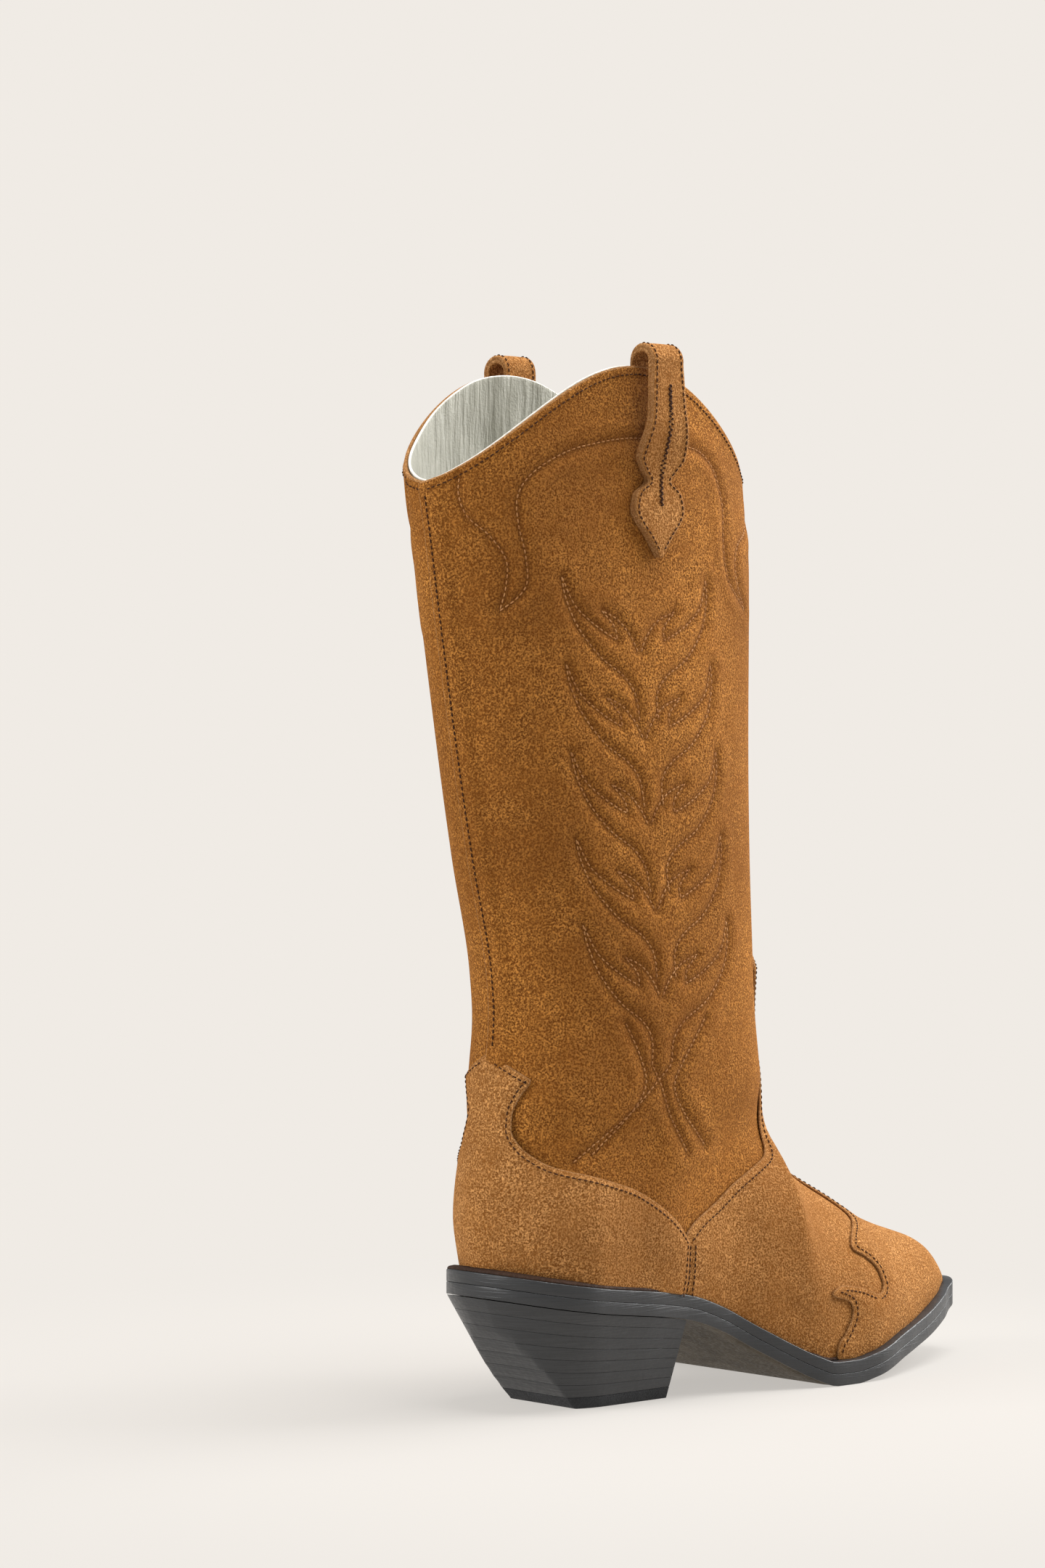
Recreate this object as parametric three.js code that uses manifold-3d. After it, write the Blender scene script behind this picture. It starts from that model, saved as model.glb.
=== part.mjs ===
// Western boot for the right foot, built as its real pieces: leather panels over linings,
// stiffeners, a layered bottom, a stacked heel with its fastenings and two pull straps.
//
// Millimetres. +Z is up, +Y points to the toe and +X to the outer side of the foot.
// The origin is on the ground, in the middle of the heel's tread.

import * as THREE from 'three';
import Module from 'manifold-3d';
import { mergeVertices } from 'three/addons/utils/BufferGeometryUtils.js';

// ---- driving dimensions -------------------------------------------------------------

const FOOT_LENGTH = 256;         // back of the heel to the tip of the toe, along Y
const BALL_WIDTH = 87;           // upper across the ball of the foot, at the welt
const SHAFT_HEIGHT = 351;        // ground to the dips of the top line
const TOP_RISE = 45;             // side peaks above the dips
const SHAFT_WIDTH = 80.4;        // shaft across, outer side to inner side
const SEAT_HEIGHT = 42.7;        // ground to the top of the welt above the heel's front

const UPPER_LEATHER = 1.6;       // shaft, vamp and overlays
const LINING_LEATHER = 1.0;
const STIFFENER = 1.2;           // heel counter
const PUFF = 0.8;                // toe puff
const GAP = 0.3;                 // air between pieces that touch on the real boot

const WELT_THICKNESS = 4.75;
const OUTSOLE_THICKNESS = 4.75;
const WELT_STRIP = 11;           // width of the welt all round
const INSOLE_THICKNESS = 2.2;
const SOCK_THICKNESS = 1.6;
const SHANK_THICKNESS = 1.4;
const SHANK_WIDTH = 13;
const SHANK_LENGTH = 96;

const LIFT_COUNT = 7;
const TOP_LIFT = 4.6;            // rubber piece that meets the ground
const TREAD_BACK = -22;          // back edge of the heel's tread
const TREAD_FRONT = 22.5;        // front edge, in line with the breast of the heel
const FACET_TOP = 32;            // height where the slanted back facet starts
const SCREW_RADIUS = 2;
const NAIL_RADIUS = 1.1;

const STRAP_THICKNESS = 3.2;     // two plies
const STRAP_HALF_WIDTH = 8.2;
const STRAP_STAND_OFF = 6.4;     // free space between the strap and the shaft
const STRAP_ARCH = 9.2;          // top of the loop above the top line
const STRAP_PLACE = -1;          // middle of each strap along Y
const STRAP_FREE_END = 2.4;      // room at each end of the moving loop
const SEWN_INSIDE = 24;          // how far the strap runs down inside the top line
const LOOP_LEG = 3.5;            // straight part of the loop below its arch

const COLUMNS = 12;              // grid columns on each side of the boot
const LEVELS = [6, 12, 17, 22, 27, 32, 37, 42, 47, 52, 58, 65, 73, 82, 90, 98, 106, 115, 126,
  137, 155, 185, 220, 260, 300, 334, 350, 361, 372, 382, 391, 400];

// ---- sizes that follow --------------------------------------------------------------

const SOLE = WELT_THICKNESS + OUTSOLE_THICKNESS;
const ANKLE = 110;               // height up to which the foot sets the shape
const LENGTHWISE = FOOT_LENGTH / 256;
const ACROSS = BALL_WIDTH / 87;
const PITCH = (SEAT_HEIGHT - SOLE) / (42.7 - 9.5);
const UPWARD = (SHAFT_HEIGHT - ANKLE) / (351 - ANKLE);

const clamp01 = (value) => Math.min(1, Math.max(0, value));

function ramp(value, start, end) {
  const t = clamp01((value - start) / (end - start));
  return t * t * (3 - 2 * t);
}

// Smooth curve through [place, value] pairs that never overshoots them.
function curve(points) {
  const last = points.length - 1;
  const steps = points.slice(1).map((point, i) => point[0] - points[i][0]);
  const rises = steps.map((step, i) => (points[i + 1][1] - points[i][1]) / step);
  const slopes = points.map((_, i) => {
    if (i === 0) return rises[0];
    if (i === last) return rises[last - 1];
    if (rises[i - 1] * rises[i] <= 0) return 0;
    const before = 2 * steps[i] + steps[i - 1];
    const after = steps[i] + 2 * steps[i - 1];
    return (before + after) / (before / rises[i - 1] + after / rises[i]);
  });
  return (place) => {
    const x = Math.min(points[last][0], Math.max(points[0][0], place));
    let k = 0;
    while (k < last - 1 && x > points[k + 1][0]) k += 1;
    const t = (x - points[k][0]) / steps[k];
    const hold = 2 * t ** 3 - 3 * t ** 2 + 1;
    const leave = (t ** 3 - 2 * t ** 2 + t) * steps[k];
    const arrive = (t ** 3 - t ** 2) * steps[k];
    return hold * points[k][1] + leave * slopes[k] + (1 - hold) * points[k + 1][1]
      + arrive * slopes[k + 1];
  };
}

// Heights above the ankle stretch with the shaft, those below it stay with the foot.
const level = (z) => (z <= ANKLE ? z : ANKLE + (z - ANKLE) * UPWARD);
const along = (y) => y * LENGTHWISE;
const alongHeights = (points) => curve(points.map(([z, y]) => [level(z), along(y)]));
const alongFoot = (points, scale) => curve(points.map(([y, v]) => [along(y), v * scale]));

// ---- shape of the boot --------------------------------------------------------------

// Back and front of the boot seen from the side: place along Y for each height.
const backProfile = alongHeights([[0, -50], [44, -54.5], [58, -57], [72, -58.3], [85, -57.6],
  [100, -55], [115, -51.8], [132, -49], [150, -48.2], [165, -49.3], [209, -58.5],
  [261, -68.4], [320, -79], [352, -84], [420, -92]]);
const frontProfile = alongHeights([[0, 197], [31, 196.5], [37, 195], [42, 191], [46.5, 183],
  [50, 172], [54, 158], [59.5, 142], [69, 124], [78, 110], [88, 98.5], [97, 92], [113, 87],
  [132, 83.5], [164, 80.5], [209, 79.5], [320, 79.5], [352, 76.5], [420, 72]]);

// Top of the welt, where the upper meets the bottom, for each place along the foot.
const weltCurve = alongFoot([[-70, 55.5], [-58, 53.5], [-45, 51], [-22, 47.3], [13, 42.7], [26, 40.2],
  [43.5, 34], [59.5, 25.2], [73.6, 17.5], [84, 12.4], [93, 9.5], [104, 9.5], [114, 11],
  [141, 16.6], [167, 21.3], [190, 26.5], [206, 31]].map(([y, z]) => [y, z - 9.5]), PITCH);

const SOLE_BACK = along(-59);
const SOLE_TIP = along(203.5);
const STATION_COUNT = 32;

// Places along the foot from back to front, closer together at both ends.
function places(back, front, count) {
  const list = [];
  for (let i = 0; i <= count; i += 1) {
    list.push(back + (front - back) * (1 - Math.cos(Math.PI * i / count)) / 2);
  }
  return list;
}

// Every layer of the bottom bends at these places, so that the layers lie flat together.
// The sole is level between BALL_BACK and BALL_FRONT, where it rests on the ground.
const BALL_BACK = along(93);
const BALL_FRONT = along(104);
const STATIONS = [...places(SOLE_BACK, SOLE_TIP, STATION_COUNT), BALL_BACK, BALL_FRONT]
  .sort((a, b) => a - b);

function stationsBetween(back, front) {
  const between = STATIONS.filter((y) => y > back + 0.4 && y < front - 0.4);
  return [back, ...between, front];
}

function weltTop(y) {
  const k = Math.max(0, STATIONS.findLastIndex((station) => station <= y));
  const start = Math.min(k, STATIONS.length - 2);
  const share = clamp01((y - STATIONS[start]) / (STATIONS[start + 1] - STATIONS[start]));
  const low = weltCurve(STATIONS[start]);
  return SOLE + low + (weltCurve(STATIONS[start + 1]) - low) * share;
}

// Half widths of the upper at the welt.
const outerFoot = alongFoot([[-60, 20], [-45, 30], [-25, 34.5], [0, 34.5], [25, 32], [45, 31.5],
  [70, 37], [95, 43], [115, 43.5], [140, 36.5], [165, 26], [185, 16], [196, 9], [206, 6]],
ACROSS);
const innerFoot = alongFoot([[-60, 20], [-45, 30], [-25, 34.5], [0, 33.5], [25, 29], [45, 27.5],
  [70, 33], [95, 41], [120, 43.5], [140, 38], [165, 27.5], [185, 16.5], [196, 9], [206, 6]],
ACROSS);
const shaftHalf = curve([[0, 0.85], [60, 0.945], [100, 0.97], [132, 0.978], [165, 0.985],
  [261, 1], [330, 0.995], [400, 0.933]].map(([z, k]) => [level(z), k * SHAFT_WIDTH / 2]));

const HEEL_ROUND = 34 * LENGTHWISE;     // reach of the rounded back of the heel
const THROAT = along(82);               // place where the shaft turns into the instep
const INSTEP = 142;                     // height up to which the foot's dome would reach

function ridgeHeight(y) {
  let low = 0;
  let high = INSTEP;
  for (let i = 0; i < 24; i += 1) {
    const middle = (low + high) / 2;
    if (frontProfile(middle) > y) low = middle;
    else high = middle;
  }
  return low;
}

function footHalf(y, z, outer) {
  const width = outer ? outerFoot(y) : innerFoot(y);
  const ridge = y > THROAT ? ridgeHeight(y) : INSTEP;
  const climb = clamp01((z - weltTop(y)) / Math.max(1, ridge - weltTop(y)));
  const sharpness = 0.5 + 0.3 * (1 - ramp(y, along(95), along(135)));
  const heelPart = 1 - ramp(y, 0, along(60));
  let dome = (1 - climb ** 2.3) ** sharpness;
  if (y < THROAT) dome = 1 - (1 - dome) * (1 - 0.8 * heelPart);
  const bulge = 1 + (0.05 + 0.08 * heelPart) * Math.sin(Math.PI * clamp01(climb * 1.3));
  const fromBack = clamp01((y - backProfile(z)) / HEEL_ROUND);
  return width * dome * bulge * Math.sqrt(1 - (1 - fromBack) ** 2);
}

function shaftSectionHalf(y, z) {
  const back = backProfile(z);
  const front = frontProfile(z);
  const place = clamp01((y - back) / (front - back));
  const power = place > 0.5 ? 2.15 - 0.6 * (1 - ramp(z, 95, 125)) : 2.15;
  return shaftHalf(z) * (1 - Math.abs(2 * place - 1) ** power) ** (1 / power);
}

function halfWidth(y, z, outer) {
  const blend = ramp(z, 62, 118);
  return footHalf(y, z, outer) * (1 - blend) + shaftSectionHalf(y, z) * blend;
}

// One side of a level section, from the back centre to the front centre, as points that
// lie closer together near both centres. Each point knows its distance round from the
// back centre (fromBack) and from the front centre (fromFront).
function sideSection(z, outer) {
  const back = backProfile(z);
  const front = frontProfile(z);
  const fine = [];
  const fineCount = 240;
  for (let i = 0; i <= fineCount; i += 1) {
    const y = back + (front - back) * (1 - Math.cos(Math.PI * i / fineCount)) / 2;
    const end = i === 0 || i === fineCount;
    const x = end ? 0 : halfWidth(y, z, outer);
    const before = fine[i - 1];
    const round = before ? before.round + Math.hypot(x - before.x, y - before.y) : 0;
    fine.push({ x, y, round });
  }
  const girth = fine[fineCount].round;
  const points = [];
  let k = 0;
  for (let j = 0; j <= COLUMNS; j += 1) {
    const t = j / COLUMNS;
    const round = girth * (t - 0.07 * Math.sin(2 * Math.PI * t));
    while (k < fineCount - 1 && fine[k + 1].round < round) k += 1;
    const share = clamp01((round - fine[k].round) / (fine[k + 1].round - fine[k].round));
    const x = fine[k].x + (fine[k + 1].x - fine[k].x) * share;
    const y = fine[k].y + (fine[k + 1].y - fine[k].y) * share;
    points.push({ x: outer ? x : -x, y, z, fromBack: round, fromFront: girth - round, outer });
  }
  return points;
}

// The whole outside of the boot as rows of points, each with its outward normal.
function bootGrid() {
  const rows = LEVELS.map((z) => {
    const height = level(z);
    const outer = sideSection(height, true);
    const inner = sideSection(height, false).slice(1, -1).reverse();
    return outer.concat(inner);
  });
  const count = rows[0].length;
  const across = new THREE.Vector3();
  const up = new THREE.Vector3();
  rows.forEach((row, i) => row.forEach((point, j) => {
    const ahead = row[(j + 1) % count];
    const behind = row[(j + count - 1) % count];
    const above = rows[Math.min(i + 1, rows.length - 1)][j];
    const below = rows[Math.max(i - 1, 0)][j];
    across.set(ahead.x - behind.x, ahead.y - behind.y, 0);
    up.set(above.x - below.x, above.y - below.y, above.z - below.z);
    point.normal = across.clone().cross(up).normalize();
  }));
  return rows;
}

const grid = bootGrid();

// ---- outlines of the leather pieces -------------------------------------------------

const topLine = (p) => SHAFT_HEIGHT
  + TOP_RISE * Math.abs(Math.sin(Math.PI * p.fromBack / (p.fromBack + p.fromFront))) ** 1.6;

const SEAM_TOP = 62;            // height where counter cover, vamp and shaft meet
const seamRound = (z) => along(93.7 + 4.3 * clamp01((z - 43) / (SEAM_TOP - 43)));

// Counter cover: how far round from the back centre it reaches at each height.
const counterEdgeLow = curve([[SEAM_TOP, 98], [69, 91.6], [77, 81], [83, 70], [87, 58], [90, 47],
  [92, 37.7], [94, 30], [97, 23.7], [101, 17.6], [108, 12.9], [113, 12.5], [119, 14.5],
  [126, 18.7]]);
function counterReach(z) {
  if (z < SEAM_TOP) return seamRound(z);
  if (z < 126) return along(counterEdgeLow(z));
  return along(18.7 * (136 - z) / 10);
}

// Vamp: how far round from the front centre it reaches at each height.
const vampEdgeLow = curve([[SEAM_TOP, 136], [68, 117.5], [75, 91], [82, 67.5], [87, 49], [90, 38],
  [97, 27], [108, 20], [122, 16], [136, 15.5], [150, 18], [164, 23]]);
function vampReach(z) {
  if (z < SEAM_TOP) return 1000;
  if (z < 164) return along(vampEdgeLow(z));
  return along(23 * (180 - z) / 16);
}

// Toe cap edge in the plane of y and (z - |x|), which grows from the welt to the ridge.
const CAP_EDGE = [[95, -60], [97, -31], [101, -25], [105.5, -17.5], [104, -11], [93.7, -7.5],
  [99.5, -4], [110.5, -6], [121, -10], [127, -4.5], [125.5, 5], [120, 11], [114, 16],
  [118, 24], [125, 33], [130, 42], [129, 50], [124, 57], [117, 66], [108, 79]];
const capOutline = [...CAP_EDGE, [300, 79], [300, -60]].map(([y, g]) => [along(y), g]);

function signedDistance(outline, u, v) {
  let nearest = Infinity;
  let inside = false;
  outline.forEach(([ax, ay], i) => {
    const [bx, by] = outline[(i + 1) % outline.length];
    const length2 = (bx - ax) ** 2 + (by - ay) ** 2;
    const t = clamp01(((u - ax) * (bx - ax) + (v - ay) * (by - ay)) / length2);
    nearest = Math.min(nearest, Math.hypot(u - ax - t * (bx - ax), v - ay - t * (by - ay)));
    if ((ay > v) !== (by > v) && u < ax + (v - ay) * (bx - ax) / (by - ay)) inside = !inside;
  });
  return inside ? nearest : -nearest;
}

const belowTopLine = (p) => topLine(p) - p.z;
const onOuterSide = (p) => (p.outer ? 1 : -1) * Math.min(p.fromBack, p.fromFront) - GAP / 2;
const onInnerSide = (p) => (p.outer ? -1 : 1) * Math.min(p.fromBack, p.fromFront) - GAP / 2;

// The shaft runs on for about ten millimetres under the vamp, and down to the welt behind
// the side seams.
const SHAFT_LAP = 10;
const shaftFrontEdge = curve([[0, 84], [38, 80], [67, 72], [91, 65], [117, 58], [130, 54]]);
const aboveFrontEdge = (p) => p.z - shaftFrontEdge(p.fromFront / LENGTHWISE);
const behindSeam = (p) => along(98) + SHAFT_LAP - p.fromBack;
const inShaft = (p) => Math.max(aboveFrontEdge(p), behindSeam(p));

const LINING_SPLIT_Y = along(62);
const LINING_SPLIT_Z = 96;
const inVampLining = (p) => Math.min(p.y - LINING_SPLIT_Y, LINING_SPLIT_Z - p.z) - GAP;
const inShaftLining = (p) => -Math.min(p.y - LINING_SPLIT_Y, LINING_SPLIT_Z - p.z);

const inCounterCover = (p) => counterReach(p.z) - p.fromBack - GAP;
const inVamp = (p) => Math.min(vampReach(p.z) - p.fromFront, p.fromBack - seamRound(p.z) - GAP);
const inToeCap = (p) => signedDistance(capOutline, p.y, p.z - Math.abs(p.x));
const stiffenerRound = (p) => along(74) - p.fromBack;
const stiffenerRise = (p) => 98 - p.z - 0.24 * p.fromBack;
const inStiffener = (p) => Math.min(stiffenerRound(p), stiffenerRise(p));
const inPuff = (p) => p.y - along(158) - 0.25 * Math.abs(p.x);

// ---- depths of the layers, outward from the boot's outside --------------------------

// The counter cover hides the stiffener, so what lies under it is set deeper.
const COVER_STACK = STIFFENER + UPPER_LEATHER + 2 * GAP;
const PUFF_STACK = PUFF + GAP;
const heelDepth = (p) => COVER_STACK * (1 - ramp(p.z, 88, 122))
  * (1 - ramp(p.fromBack, along(70), along(96)));
const puffDepth = (p) => PUFF_STACK * ramp(p.y, along(140), along(156));

const shaftOuter = (p) => -heelDepth(p);
const shaftInner = (p) => shaftOuter(p) - UPPER_LEATHER;
const liningOuter = (p) => shaftInner(p) - GAP - puffDepth(p);
const liningInner = (p) => liningOuter(p) - LINING_LEATHER;
const stiffenerInner = (p) => shaftOuter(p) + GAP;
const overStiffener = (p) => ramp(stiffenerRound(p), -32, -20) * ramp(stiffenerRise(p), -19, -9);
const coverInner = (p) => shaftOuter(p) + GAP + (STIFFENER + GAP) * overStiffener(p);
const overShaft = (p) => Math.max(ramp(aboveFrontEdge(p), -34, -13), ramp(behindSeam(p), -60, -24));
const vampInner = (p) => -UPPER_LEATHER + (UPPER_LEATHER + GAP) * overShaft(p);
const vampOuter = (p) => vampInner(p) + UPPER_LEATHER;
const capInner = (p) => vampOuter(p) + GAP;

// ---- solids -------------------------------------------------------------------------

const wasm = await Module();
wasm.setup();

function geometryFrom(positions) {
  const geometry = new THREE.BufferGeometry();
  geometry.setAttribute('position', new THREE.Float32BufferAttribute(positions, 3));
  return mergeVertices(geometry, 1e-4);
}

function toSolid(geometry) {
  const bare = geometry.clone();
  bare.deleteAttribute('normal');
  bare.deleteAttribute('uv');
  const merged = mergeVertices(bare, 1e-4);
  return new wasm.Manifold(new wasm.Mesh({
    numProp: 3,
    vertProperties: new Float32Array(merged.attributes.position.array),
    triVerts: new Uint32Array(merged.index.array),
  }));
}

function toGeometry(solid) {
  const mesh = solid.getMesh();
  const geometry = new THREE.BufferGeometry();
  geometry.setAttribute('position', new THREE.BufferAttribute(mesh.vertProperties, 3));
  geometry.setIndex(new THREE.BufferAttribute(mesh.triVerts, 1));
  return geometry;
}

const common = (geometry, other) => toGeometry(toSolid(geometry).intersect(toSolid(other)));
const cut = (geometry, tools) => toGeometry(
  tools.reduce((solid, tool) => solid.subtract(toSolid(tool)), toSolid(geometry)),
);

const mix = (a, b, t) => a.map((value, i) => value + (b[i] - value) * t);

// Keeps the part of a triangle where the value of the test is positive.
function clip(polygon, test) {
  const kept = [];
  polygon.forEach((corner, i) => {
    const next = polygon[(i + 1) % polygon.length];
    const here = corner.tests[test];
    const there = next.tests[test];
    if (here > 0) kept.push(corner);
    if ((here > 0) !== (there > 0)) {
      const t = here / (here - there);
      kept.push({
        inner: mix(corner.inner, next.inner, t),
        outer: mix(corner.outer, next.outer, t),
        tests: mix(corner.tests, next.tests, t),
      });
    }
  });
  return kept;
}

const offset = (p, depth) => [p.x + p.normal.x * depth, p.y + p.normal.y * depth,
  p.z + p.normal.z * depth];

// A leather piece: the part of the boot's skin that passes every test, between two depths.
function panel(innerDepth, outerDepth, ...tests) {
  const corners = grid.map((row) => row.map((p) => ({
    inner: offset(p, innerDepth(p)),
    outer: offset(p, outerDepth(p)),
    tests: tests.map((test) => {
      const value = test(p);
      return Math.abs(value) < 0.02 ? 0.02 : value;
    }),
  })));
  const keyOf = (corner) => corner.outer.map((value) => value.toFixed(4)).join(' ');
  const positions = [];
  const edges = new Map();
  const addTriangle = (a, b, c) => {
    const keys = [a, b, c].map(keyOf);
    if (new Set(keys).size < 3) return;
    positions.push(...a.outer, ...b.outer, ...c.outer, ...a.inner, ...c.inner, ...b.inner);
    [[a, b, 0, 1], [b, c, 1, 2], [c, a, 2, 0]].forEach(([from, to, i, j]) => {
      const opposite = `${keys[j]}|${keys[i]}`;
      if (edges.has(opposite)) edges.delete(opposite);
      else edges.set(`${keys[i]}|${keys[j]}`, [from, to]);
    });
  };
  const count = grid[0].length;
  for (let i = 0; i < corners.length - 1; i += 1) {
    for (let j = 0; j < count; j += 1) {
      const k = (j + 1) % count;
      const [a, b, c, d] = [corners[i][j], corners[i][k], corners[i + 1][k], corners[i + 1][j]];
      for (const triangle of [[a, b, c], [a, c, d]]) {
        const polygon = tests.reduce((shape, _, t) => clip(shape, t), triangle);
        for (let n = 1; n < polygon.length - 1; n += 1) {
          addTriangle(polygon[0], polygon[n], polygon[n + 1]);
        }
      }
    }
  }
  edges.forEach(([from, to]) => {
    positions.push(...from.outer, ...from.inner, ...to.inner);
    positions.push(...from.outer, ...to.inner, ...to.outer);
  });
  return geometryFrom(positions);
}

// A solid swept through stations. Each station is a ring of four corners, all in one turn.
function sweep(stations) {
  const positions = [];
  const quad = (a, b, c, d) => positions.push(...a, ...b, ...c, ...a, ...c, ...d);
  for (let i = 0; i < stations.length - 1; i += 1) {
    for (let k = 0; k < 4; k += 1) {
      const n = (k + 1) % 4;
      quad(stations[i][n], stations[i][k], stations[i + 1][k], stations[i + 1][n]);
    }
  }
  const first = stations[0];
  const last = stations[stations.length - 1];
  quad(first[0], first[1], first[2], first[3]);
  quad(last[3], last[2], last[1], last[0]);
  return geometryFrom(positions);
}

// ---- bottom: flat layers that follow the foot ---------------------------------------

// How far the welt's edge stands outside the upper.
const weltEdge = curve([[-60, 1.2], [0, 1.4], [45, 3], [95, 5.4], [150, 5.7], [165, 6.4], [185, 6.7], [196, 7.2], [206, 7]]);

const soleHalf = (y, outer) => (outer ? outerFoot(y) : innerFoot(y)) + weltEdge(y / LENGTHWISE);

// Rounds the back end of a layer whose last point is at back.
const roundBack = (y, back, reach) => Math.sqrt(1 - (1 - clamp01((y - back) / reach)) ** 2);

const BACK_FLAT = 0.24;         // share of the width left at the very back of a layer

function layer(inset, low, high) {
  const back = SOLE_BACK + inset;
  const reach = HEEL_ROUND - inset * 0.7;
  return sweep(stationsBetween(back, SOLE_TIP - inset).map((y) => {
    const close = Math.max(BACK_FLAT, roundBack(y, back, reach));
    const outer = (soleHalf(Math.max(y, along(-25)), true) - inset) * close;
    const inner = (soleHalf(Math.max(y, along(-25)), false) - inset) * close;
    return [[outer, y, low(y)], [outer, y, high(y)], [-inner, y, high(y)], [-inner, y, low(y)]];
  }));
}

const groundClear = (y) => Math.max(0, weltTop(y) - SOLE);
const outsoleTop = (y) => weltTop(y) - WELT_THICKNESS;

function outsole() {
  return layer(0, groundClear, (y) => outsoleTop(y) - GAP);
}

function weltRing() {
  const ring = layer(0, outsoleTop, weltTop);
  const hole = layer(WELT_STRIP, (y) => outsoleTop(y) - 5, (y) => weltTop(y) + 5);
  return cut(ring, [hole]);
}

const SHANK_BACK = along(-18);
const shankLow = (y) => outsoleTop(y) + GAP + 1;

function shankStrip(grow, top) {
  const ends = [SHANK_BACK - grow, SHANK_BACK + SHANK_LENGTH + grow];
  return sweep(stationsBetween(...ends).map((y) => {
    const half = SHANK_WIDTH / 2 + grow;
    const low = shankLow(y) - grow;
    const high = top === undefined ? shankLow(y) + SHANK_THICKNESS : weltTop(y) + top;
    return [[half, y, low], [half, y, high], [-half, y, high], [-half, y, low]];
  }));
}

function corkFiller() {
  const slab = layer(WELT_STRIP + 2 * GAP, outsoleTop, (y) => weltTop(y) - GAP / 2);
  return cut(slab, [shankStrip(GAP, 2), ...fastenerHoles()]);
}

// The room inside the upper, closed at both ends.
function footRoom() {
  const rings = grid.map((row) => row.map((p) => offset(p, liningInner(p) - GAP)));
  const count = rings[0].length;
  const positions = [];
  const middle = (ring) => [0, (ring[0][1] + ring[COLUMNS][1]) / 2, ring[0][2]];
  for (let j = 0; j < count; j += 1) {
    const k = (j + 1) % count;
    for (let i = 0; i < rings.length - 1; i += 1) {
      positions.push(...rings[i][j], ...rings[i][k], ...rings[i + 1][k]);
      positions.push(...rings[i][j], ...rings[i + 1][k], ...rings[i + 1][j]);
    }
    const top = rings[rings.length - 1];
    positions.push(...middle(rings[0]), ...rings[0][k], ...rings[0][j]);
    positions.push(...middle(top), ...top[j], ...top[k]);
  }
  return geometryFrom(positions);
}

const insideUpper = footRoom();

function insideLayer(low, high) {
  const wide = BALL_WIDTH;
  return common(sweep(STATIONS.map((y) => (
    [[wide, y, low(y)], [wide, y, high(y)], [-wide, y, high(y)], [-wide, y, low(y)]]))),
  insideUpper);
}

const insoleTop = (y) => weltTop(y) + GAP + INSOLE_THICKNESS;

const insoleBoard = () => cut(
  insideLayer((y) => weltTop(y) + GAP, insoleTop),
  fastenerHoles(),
);
const sockLiner = () => insideLayer(
  (y) => insoleTop(y) + GAP,
  (y) => insoleTop(y) + GAP + SOCK_THICKNESS,
);

// ---- heel ---------------------------------------------------------------------------

const SEAT_BACK_LOW = SOLE_BACK + 0.6;
const TREAD_ROUND_BACK = TREAD_BACK - 13;   // where the tread would end without the facet
const TREAD_HALF_FRONT = 22.4;
const TREAD_HALF_BACK = 20.4;

// One corner station of the heel: t is 0 at the ground and 1 under the outsole, and
// share runs from the back to the breast.
function heelStation(share, t) {
  const spread = (1 - Math.cos(Math.PI * share)) / 2;
  const topY = SEAT_BACK_LOW + (TREAD_FRONT - SEAT_BACK_LOW) * spread;
  const lowY = TREAD_ROUND_BACK + (TREAD_FRONT - TREAD_ROUND_BACK) * spread;
  const seatUnder = groundClear(topY) - GAP;
  const topClose = Math.max(BACK_FLAT, roundBack(topY, SEAT_BACK_LOW, HEEL_ROUND));
  const lowClose = Math.max(BACK_FLAT, roundBack(lowY, TREAD_ROUND_BACK, 26));
  const lowHalf = lowClose * (TREAD_HALF_BACK + (TREAD_HALF_FRONT - TREAD_HALF_BACK) * spread);
  const half = (outer) => {
    const topHalf = (soleHalf(Math.max(topY, along(-25)), outer) - 0.6) * topClose;
    return lowHalf + (topHalf - lowHalf) * t;
  };
  return { y: lowY + (topY - lowY) * t, outer: half(true), inner: half(false), seatUnder };
}

// A slab of the heel between two fractions of its height.
function heelSlab(lowFraction, highFraction) {
  const stations = [];
  const count = 9;
  for (let i = 0; i <= count; i += 1) {
    const share = i / count;
    const rise = (f) => TOP_LIFT + (heelStation(share, 0).seatUnder - TOP_LIFT) * f;
    const ring = (f, gap) => {
      const z = (f < 0 ? 0 : rise(f)) + gap;
      const s = heelStation(share, z / heelStation(share, 0).seatUnder);
      return { ...s, z };
    };
    const low = ring(lowFraction, lowFraction < 0 ? 0 : GAP);
    const high = ring(highFraction, 0);
    stations.push([[low.outer, low.y, low.z], [high.outer, high.y, high.z],
      [-high.inner, high.y, high.z], [-low.inner, low.y, low.z]]);
  }
  return sweep(stations);
}

// Everything behind the slanted facet is cut away.
function facetTool() {
  const seat = heelStation(0, 0).seatUnder;
  const topY = heelStation(0, FACET_TOP / seat).y;
  const lean = Math.atan2(TREAD_BACK - topY, FACET_TOP);
  const size = 120;
  const box = new THREE.BoxGeometry(size, size, size);
  box.translate(0, -size / 2, 0);
  box.rotateX(lean);
  box.translate(0, TREAD_BACK, 0);
  return box;
}

// Fastenings run down from the insole board through the seat into the lifts.
const NAIL_PLACES = [[18, -2], [-18, -2], [13, -29], [-13, -29]];
const SCREW_PLACE = [0, -26];

function pin([x, y], radius, low, high) {
  const length = high - low;
  const body = new THREE.CylinderGeometry(radius, radius, length, 6);
  body.rotateX(Math.PI / 2);
  body.translate(x, along(y), low + length / 2);
  return body;
}

const headLevel = (place) => insoleTop(along(place[1])) - 0.4;
const nailEnd = (place) => headLevel(place) - 34;
const screwEnd = (place) => headLevel(place) - 40;

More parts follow.
